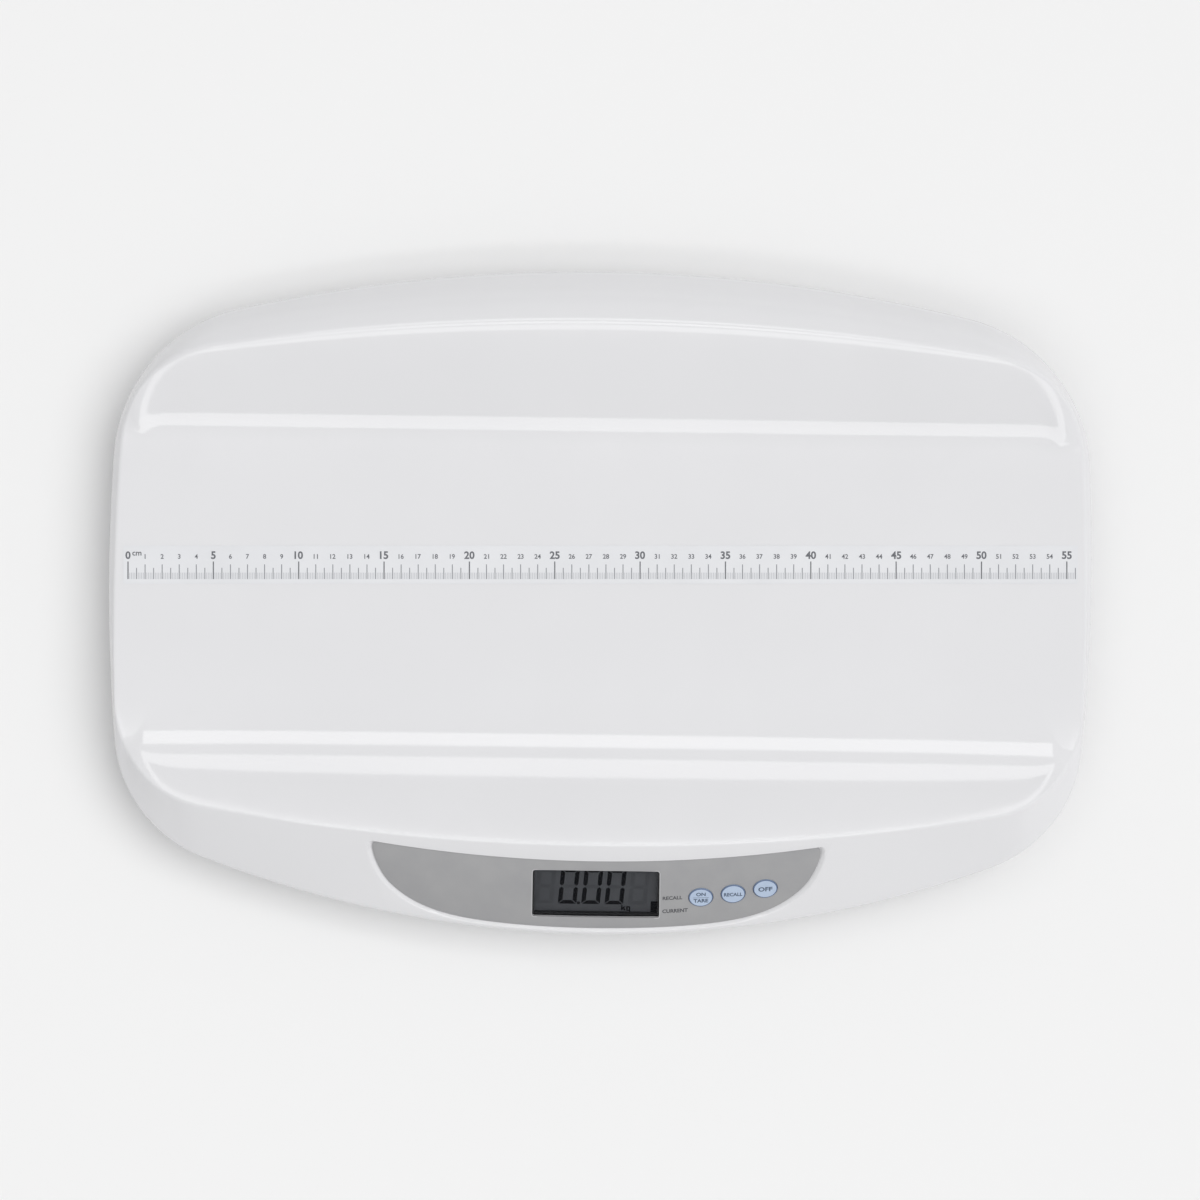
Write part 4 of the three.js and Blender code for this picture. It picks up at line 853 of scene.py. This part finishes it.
def build_panel_print():
    """A pale line round the display's window, and the two printed legends beside it."""
    def onto(x, y):
        edge = console_point(math.asin(x / tray_edge["front_radius"]) / edge_front[3], 0)
        return on_console(x, on_display(x, y, 0).y - edge.y, panel_depth - ink_lift)

    def above_film(x, y):
        return on_console(x, y, panel_depth - ink_lift)

    bm = bmesh.new()
    band(bm, *(display_outline(grow) for grow in window_line), onto)
    piece("window_line", bm, window_line_finish, "platform", printed=True)
    bm = bmesh.new()
    for text, middle, height, width in panel_legends:
        letters(bm, text, middle, height, above_film, width, letter_bold)
    piece("panel_legends", bm, legend_ink, "platform", printed=True)


def ensure_turn(outline):
    """Puts an outline's points in anticlockwise order, so that the patch faces up."""
    area = sum(a[0] * b[1] - b[0] * a[1] for a, b in zip(outline, outline[1:] + outline[:1]))
    return outline if area > 0 else outline[::-1]


def digit_segments(left, low, width, height, stroke, slant, gap, names):
    """The outlines of those of one figure's seven segments that are named, with mitred ends."""
    right, top, middle = left + width, low + height, low + height / 2
    half = stroke / 2
    outlines = []
    uprights = (("f", left, left + stroke, top, -1), ("b", right, right - stroke, top, -1),
                ("e", left, left + stroke, low, 1), ("c", right, right - stroke, low, 1))
    for name, outer, inner, end, turn in uprights:
        if name in names:
            outlines.append([(outer, end + turn * gap), (inner, end + turn * (stroke + gap)),
                             (inner, middle - turn * (half + gap)),
                             ((outer + inner) / 2, middle - turn * gap),
                             (outer, middle - turn * (half + gap))])
    if "d" in names:
        outlines.append([(left + gap, low), (right - gap, low), (right - stroke - gap, low + stroke),
                         (left + stroke + gap, low + stroke)])
    if "a" in names:
        outlines.append([(left + stroke + gap, top - stroke), (right - stroke - gap, top - stroke),
                         (right - gap, top), (left + gap, top)])
    if "g" in names:
        outlines.append([(left + half + gap, middle), (left + stroke + gap, middle - half),
                         (right - stroke - gap, middle - half), (right - half - gap, middle),
                         (right - stroke - gap, middle + half), (left + stroke + gap, middle + half)])
    return [[(x + slant * (y - low), y) for x, y in outline] for outline in outlines]


def kilogram_strokes(left, low):
    """The outlines of the strokes of the unit, "kg", from its lower left corner."""
    boxes = [(0, 0.9, 0, 3.8), (3, 5.4, 2, 2.9), (3, 5.4, -0.3, 0.5), (3, 3.9, 0.5, 2), (4.6, 5.4, -0.9, 2),
             (3, 5.4, -1.7, -0.9)]
    outlines = [[(x0, y0), (x1, y0), (x1, y1), (x0, y1)] for x0, x1, y0, y1 in boxes]
    outlines.append([(0.9, 0.9), (1.5, 1.4), (2.7, 2.9), (1.6, 2.9), (0.9, 2)])
    outlines.append([(1.1, 1.1), (1.7, 0), (2.8, 0), (1.9, 1.9)])
    return [[(left + x, low + y) for x, y in outline] for outline in outlines]


def build_display_print():
    """The crystal's figures: three noughts, a point and the unit, with the resting segments faint behind."""
    def onto(x, y):
        return on_display(x, y, glass_depth - ink_lift)

    def lower_onto(x, y):
        return on_display(x, y, glass_depth - ink_lift / 2)

    switched = bmesh.new()
    resting = bmesh.new()
    for i, left in enumerate(figure_places):
        shown = "abcdef" if i in (1, 2, 3) else ""
        hidden = [name for name in "abcdefg" if name not in shown]
        for names, bm, fall in ((shown, switched, onto), (hidden, resting, lower_onto)):
            for outline in digit_segments(left=left, names=names, **figure_size):
                patch(bm, ensure_turn(outline), fall)
    patch(switched, figure_point, onto)
    patch(switched, pointer, onto)
    for outline in kilogram_strokes(*unit_place):
        patch(switched, ensure_turn(outline), onto)
    piece("crystal_figures", switched, crystal_on, "platform", printed=True)
    piece("crystal_at_rest", resting, crystal_rest, "platform", printed=True)


def build_key(name):
    """A blue cap with a rounded and darkened top edge and a retaining flange, and its printed legend."""
    matrix = key_matrix(name)
    levels = [(key_flange_bottom, key_flange_reach), (key_flange_top, key_flange_reach), (key_flange_top, 0),
              (key_top + key_edge_round, 0)]
    for angle in key_edge_angles:
        levels.append((key_top + key_edge_round * (1 - math.sin(angle)),
                       -key_edge_round * (1 - math.cos(angle))))
    bm = bmesh.new()
    loft(bm, [[matrix @ at(place, -depth) for place in key_outline(grow)]
              for depth, grow in (*levels, *key_crown)])
    foot = display_matrix.inverted() @ matrix.translation
    drum(bm, key_stem_radius, (key_stem_end, foot.z - key_stem_top), foot.x, foot.y, segments=32,
         matrix=display_matrix)
    body = f"{name}_key"
    cap = piece(f"{name}_cap", bm, satin_blue_abs, body, [body])
    cap.data.materials.append(blue_ink)
    for face in cap.data.polygons:
        place = matrix.inverted() @ (face.center / MM)
        share = math.hypot(place.x / (key_half_length + key_line), place.y / (key_half_width + key_line))
        if share > 1 and place.z > -1:
            face.material_index = 1

    def onto(x, y):
        return matrix @ Vector((x, y, ink_lift - crown_depth))

    bm = bmesh.new()
    for text, middle, height, width in key_legends[name]:
        letters(bm, text, middle, height, onto, width, letter_bold)
    if name in key_rules:
        rule, half = key_rules[name], key_rule_half_width
        patch(bm, [(-rule, -half), (rule, -half), (rule, half), (-rule, half)], onto)
    piece(f"{name}_legend", bm, key_ink, body, printed=True)


build_panel()
build_window()
build_panel_print()
build_display_print()
for name in keys:
    build_key(name)


# Ruler

ruler_matrix = Matrix.Translation((0, ruler_y, 0)) @ Matrix.Rotation(math.radians(ruler_turn), 4, "Z")


def build_ruler_print():
    """Marks at every millimetre from 0 to 55.5 cm, and a figure at every centimetre."""
    def onto(x, y):
        return ruler_matrix @ Vector((x, y, ruler_top + ink_lift))

    sets = {name: bmesh.new() for name in ("fine", "short", "long", "figures")}
    for i in range(ruler_count):
        name, length, half = next(mark for step, mark in ruler_marks.items() if i % step == 0)
        x, top = ruler_zero + i, ruler_foot + length
        outline = [(x - half, ruler_foot), (x + half, ruler_foot), (x + half, top), (x - half, top)]
        patch(sets[name], outline, onto)
    for i in range(0, ruler_count, 10):
        kind, y, height, bold = ruler_small_figures if i % 50 else ruler_main_figures
        letters(sets[kind], str(i // 10), (ruler_zero + i, y), height, onto, bold=bold)
    letters(sets["long"], *ruler_unit, onto, ruler_unit_width, ruler_unit_bold)
    prints = (("fine", "ruler_fine_marks", pale_ink), ("short", "ruler_marks", grey_ink),
              ("long", "ruler_long_marks", dark_ink), ("figures", "ruler_figures", dark_ink))
    for name, print_name, colour in prints:
        piece(print_name, sets[name], colour, "platform", printed=True)


build_ruler_print()


# Lower shell and battery cover

def shell_section(place, normal):
    flat, keel, bilge, rim = (at(place - normal * inset, height) for inset, height in (
        (tray_wall + shell_gap + bilge_width + flat_margin, shell_bottom),
        (tray_wall + shell_gap + bilge_width, shell_bottom),
        (tray_wall + shell_gap, shell_bilge_top),
        (tray_wall + shell_gap, shell_rim_top)))
    return [flat, *rounded_corner(flat, keel, bilge, bilge_round),
            *rounded_corner(keel, bilge, rim, bilge_round), rim]


def shell_skin(name, replaces):
    bm = bmesh.new()
    loft(bm, list(zip(*(shell_section(*point) for point in barrel_loop(tray_edge)))), end_cap=False)
    skin = piece(name, bm, eroded_abs, "platform", replaces)
    wall = skin.modifiers.new("wall", "SOLIDIFY")
    wall.thickness = shell_wall * MM
    wall.offset = -1
    wall.use_even_offset = True
    settle(skin)
    return skin


def track_blocks(grow):
    """The room of the battery cover: its plate, the lip at the back and the tongues at its sides."""
    back = tray_edge["back"] + overrun
    half = bay_half_length - fit_gap + grow
    front = bay_front + fit_gap - grow
    bottom = shell_bottom - overrun
    lip_front = bay_back + bay_wall + fit_gap - grow
    return {
        "plate": ((-half, half), (front, back), (bottom, cover_flange_bottom + grow)),
        "lip": ((-half, half), (lip_front, back), (bottom, cover_lip_top + grow)),
        "tongue": ((-half - cover_track, half + cover_track), (front, back),
                   (cover_flange_bottom - grow, cover_flange_top + grow)),
    }


def build_lower_shell():
    shell = shell_skin("shell_moulding", ["lower_shell"])
    tool = drums(shell_screws.values(), shell_boss_radius, (shell_bottom + shell_wall / 2, shell_boss_top))
    outer = bay_half_length + bay_side_wall
    block(tool, (-outer, outer), (bay_front - bay_wall, bay_back + bay_wall),
          (shell_bottom + shell_wall / 2, bay_roof + bay_wall))
    carve(shell, "UNION", tool)
    bay = ((-bay_half_length, bay_half_length), (bay_front, bay_back), (shell_bottom - overrun, bay_roof))
    for span in (bay, *track_blocks(fit_gap).values()):
        carve(shell, "DIFFERENCE", blocks(span))
    tool = drums(shell_screws.values(), counterbore_radius, (shell_bottom - overrun, counterbore_top),
                 segments=40)
    prism(tool, rounded_outline(*stem_opening), (shell_bottom - overrun, shell_bottom + shell_wall + overrun))
    carve(shell, "DIFFERENCE", tool)
    carve(shell, "DIFFERENCE",
          drums(shell_screws.values(), screw_hole_radius, (shell_bottom, shell_boss_top + overrun),
                segments=32))
    smooth(shell)


def build_cover():
    """The cover with its turned-up lip, its grip ridges and an arrow that shows which way it slides."""
    cover = shell_skin("cover_moulding", ["battery_cover"])
    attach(cover, "battery_cover")
    carve(cover, "INTERSECT", blocks(track_blocks(0)["lip"]))
    half = bay_half_length - fit_gap
    front = bay_front + fit_gap
    back = bay_back + bay_wall + fit_gap + cover_track
    carve(cover, "UNION", blocks(((-half, half), (front, back), (shell_bottom, cover_flange_top))))
    carve(cover, "UNION", blocks(((-half - cover_track, half + cover_track), (front, bay_back),
                                  (cover_flange_bottom, cover_flange_top))))
    tool = bmesh.new()
    for i in range(grip_count):
        prism(tool, rounded_outline(*grip_outline), (shell_bottom - 1, shell_bottom + grip_depth),
              Matrix.Translation((0, grip_start + grip_pitch * i, 0)))
    prism(tool, [Vector(point) for point in arrow_points], (shell_bottom - 1, shell_bottom + arrow_depth))
    carve(cover, "DIFFERENCE", tool)
    smooth(cover)


build_lower_shell()
build_cover()


# Base plate, feet and the screws that show from below

def build_base():
    bm = bmesh.new()
    outline = rounded_outline(base_half_length, base_half_width, base_corner, 20)
    prism(bm, outline, (base_rim_bottom, base_top))
    base = piece("base_moulding", bm, eroded_grey_abs, "base", ["base_plate"])
    soften(base, base_outer_round, segments=3)
    tool = bmesh.new()
    prism(tool, rounded_outline(base_half_length - base_rim_wall, base_half_width - base_rim_wall,
                                base_corner - base_rim_wall, 20), (base_rim_bottom - overrun, base_bottom))
    carve(base, "DIFFERENCE", tool)
    reach = base_half_length - base_rim_wall / 2
    ribs = (((-reach, reach), (y, y + base_rim_wall), (base_rim_bottom, base_bottom + 1)) for y in base_ribs)
    carve(base, "UNION", blocks(*ribs))
    tool = drums(feet.values(), foot_seat_radius, (base_rim_bottom, base_bottom + 1), segments=64)
    prism(tool, rounded_outline(*base_pad), (base_pad_bottom, base_bottom + 1),
          Matrix.Translation((base_pad_x, 0, 0)))
    carve(base, "UNION", tool)
    tool = drums(feet.values(), foot_pin_radius, (base_rim_bottom - overrun, base_bottom))
    for x, y in base_bolts.values():
        drum(tool, base_bolt_seat_radius, (base_pad_bottom - overrun, base_bolt_seat), x, y, segments=40)
    for x, y in stop_screws:
        drum(tool, stop_screw_hole_radius, (base_rim_bottom, base_top + overrun), x, y, segments=32)
    carve(base, "DIFFERENCE", tool)
    carve(base, "DIFFERENCE",
          drums(base_bolts.values(), base_bolt_hole_radius, (base_pad_bottom, base_top + overrun),
                segments=32))
    soften(base, base_inner_round, angle=50)
    smooth(base, 12)


def build_feet():
    """Feet with two moulded grooves in the face that they stand on."""
    for name, (x, y) in feet.items():
        bm = turned(foot_profile, Matrix.Translation((x, y, 0)), segments=64)
        piece(f"foot_pad_{name}", bm, moulded_rubber, "base", [f"foot_{name}"], sharp=30)


def build_screw(node, body, place, head_radius, head_height, radius, length):
    """A pan head with a cross recess on a plain shank, its head down."""
    profile = [(0, 0), (0.6 * head_radius, 0.03), (0.82 * head_radius, 0.12 * head_height),
               (0.95 * head_radius, 0.3 * head_height), (head_radius, 0.6 * head_height),
               (head_radius, head_height), (radius, head_height), (radius, head_height + length - radius),
               (0.4 * radius, head_height + length), (0, head_height + length)]
    matrix = Matrix.Translation(place)
    screw = piece(f"{node}_detail", turned(profile, matrix, segments=40), zinc_steel, body, [node])
    reach, half = cross_reach * head_radius, cross_half_width * head_radius
    slot = ((-reach, reach), (-half, half), (-1, cross_depth * head_height))
    for turn in (cross_turn, cross_turn + math.pi / 2):
        carve(screw, "DIFFERENCE", blocks(slot, matrix=matrix @ Matrix.Rotation(turn, 4, "Z")))
    smooth(screw, 30)


build_base()
build_feet()
for name, (x, y) in shell_screws.items():
    build_screw(f"shell_screw_{name}", "platform", (x, y, shell_screw_seat), *shell_screw_size)
for name, (x, y) in base_bolts.items():
    build_screw(f"base_bolt_{name}", "base", (x, y, base_pad_bottom), *base_bolt_size)


# Batteries and the nodes that keep their CAD shape

def build_battery(node):
    """A cell with a crimped steel can, a printed sleeve and its button."""
    low, high = (Vector(corner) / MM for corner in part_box(node))
    y = (low.y + high.y) / 2
    turn = math.pi / 2 if "front" in node else -math.pi / 2
    start = low.x if "front" in node else high.x
    matrix = Matrix.Translation((start, y, battery_height)) @ Matrix.Rotation(turn, 4, "Y")
    cell = piece(f"{node}_detail", turned(cell_profile, matrix), cell_sleeve, "platform",
                 [node])
    cell.data.materials.append(nickel_steel)
    for face in cell.data.polygons:
        along = abs(face.center.x / MM - start)
        if not sleeve_start <= along <= sleeve_end:
            face.material_index = 1


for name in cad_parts:
    if name.startswith("battery_") and name not in ("battery_cover", "battery_lead"):
        build_battery(name)

for name in ("front_left", "front_right", "back_left", "back_right"):
    dress(zinc_steel, f"stop_screw_{name}", f"bracket_screw_{name}")
dress(zinc_steel, "bracket_bolt_1", "bracket_bolt_2", "board_screw_left", "board_screw_right", "base_spacer",
      "bracket_spacer", "platform_bracket")
dress(nickel_steel, "spring_contact", "flat_contact", "bridge_contact")
dress(anodised_bar, "load_cell")
dress(silicone, "gauge_coating", "elastomer_connector", "on_tare_plunger", "recall_plunger", "off_plunger")
dress(moulded_epoxy, "processor", "on_tare_switch", "recall_switch", "off_switch")
dress(solder_mask, "main_board")
dress(black_abs, "display_bezel")
dress(polariser, "display_glass")
dress(vinyl_film, "ruler_label")
dress(lead_sheath, "load_cell_lead", "battery_lead")

camera = place_in_scene("camera", bpy.data.cameras.new("camera"))
camera.data.lens = 102.4
camera.data.sensor_width = 36
camera.data.clip_end = 50
camera.location = (0, 0.00175, 2.042)
camera.rotation_euler = (0, 0, math.radians(0.8))
bpy.context.scene.camera = camera


def aim(name, lamp, place, energy):
    """Adds a lamp that points at the middle of the tray from a place."""
    lamp.energy = energy
    made = place_in_scene(name, lamp)
    made.location = place
    made.rotation_euler = (-Vector(place)).to_track_quat("-Z", "Y").to_euler()
    return made


def softbox(name, place, size, energy):
    lamp = bpy.data.lights.new(name, "AREA")
    lamp.shape = "RECTANGLE"
    lamp.size, lamp.size_y = size
    return aim(name, lamp, place, energy)


def gloss_box(name, near, far, radiance):
    """A level box overhead, between two distances from the middle, that shows in glossy surfaces alone."""
    size = (gloss_length, abs(far - near))
    box = softbox(name, (0, (near + far) / 2, gloss_height), size, radiance * math.pi * size[0] * size[1])
    box.rotation_euler = (0, 0, 0)
    box.visible_diffuse = False


def wide_key(name, place, spread, energy):
    """A wide, even key light that is as bright at every place on the floor."""
    lamp = bpy.data.lights.new(name, "SUN")
    lamp.angle = math.radians(spread)
    return aim(name, lamp, place, energy)


gloss_height = 3
gloss_length = 2
for lamp in (wide_key("key light", (1.0, 0.2, 1.8), 44, 1.1),
             softbox("back strip", (0.1, 1.1, 2.2), (2.6, 0.35), 3.4),
             softbox("front strip", (0.1, -1.1, 2.2), (2.6, 0.3), 5.8)):
    lamp.visible_glossy = False
gloss_box("front gloss box", -0.2, -2, 2.1)
gloss_box("near gloss box", 0.26, 1.0, 2.7)
gloss_box("far gloss box", 1.6, 2.5, 2.2)


def build_stage():
    bm = bmesh.new()
    bmesh.ops.create_grid(bm, x_segments=2, y_segments=2, size=14)
    mesh = bpy.data.meshes.new("floor")
    bm.to_mesh(mesh)
    bm.free()
    floor = place_in_scene("floor", mesh)
    paper = bpy.data.materials.new("seamless white paper")
    paper.use_nodes = True
    shader = paper.node_tree.nodes["Principled BSDF"]
    shader.inputs["Base Color"].default_value = linear("#F2F2F2")
    shader.inputs["Roughness"].default_value = 0.95
    shader.inputs["Specular IOR Level"].default_value = 0.0
    mesh.materials.append(paper)


build_stage()

world = bpy.data.worlds.new("studio")
bpy.context.scene.world = world
world.use_nodes = True
sky = world.node_tree.nodes["Background"]
sky.inputs["Color"].default_value = linear("#FFFFFF")
sky.inputs["Strength"].default_value = 0.589
bpy.context.scene.view_settings.view_transform = "Standard"
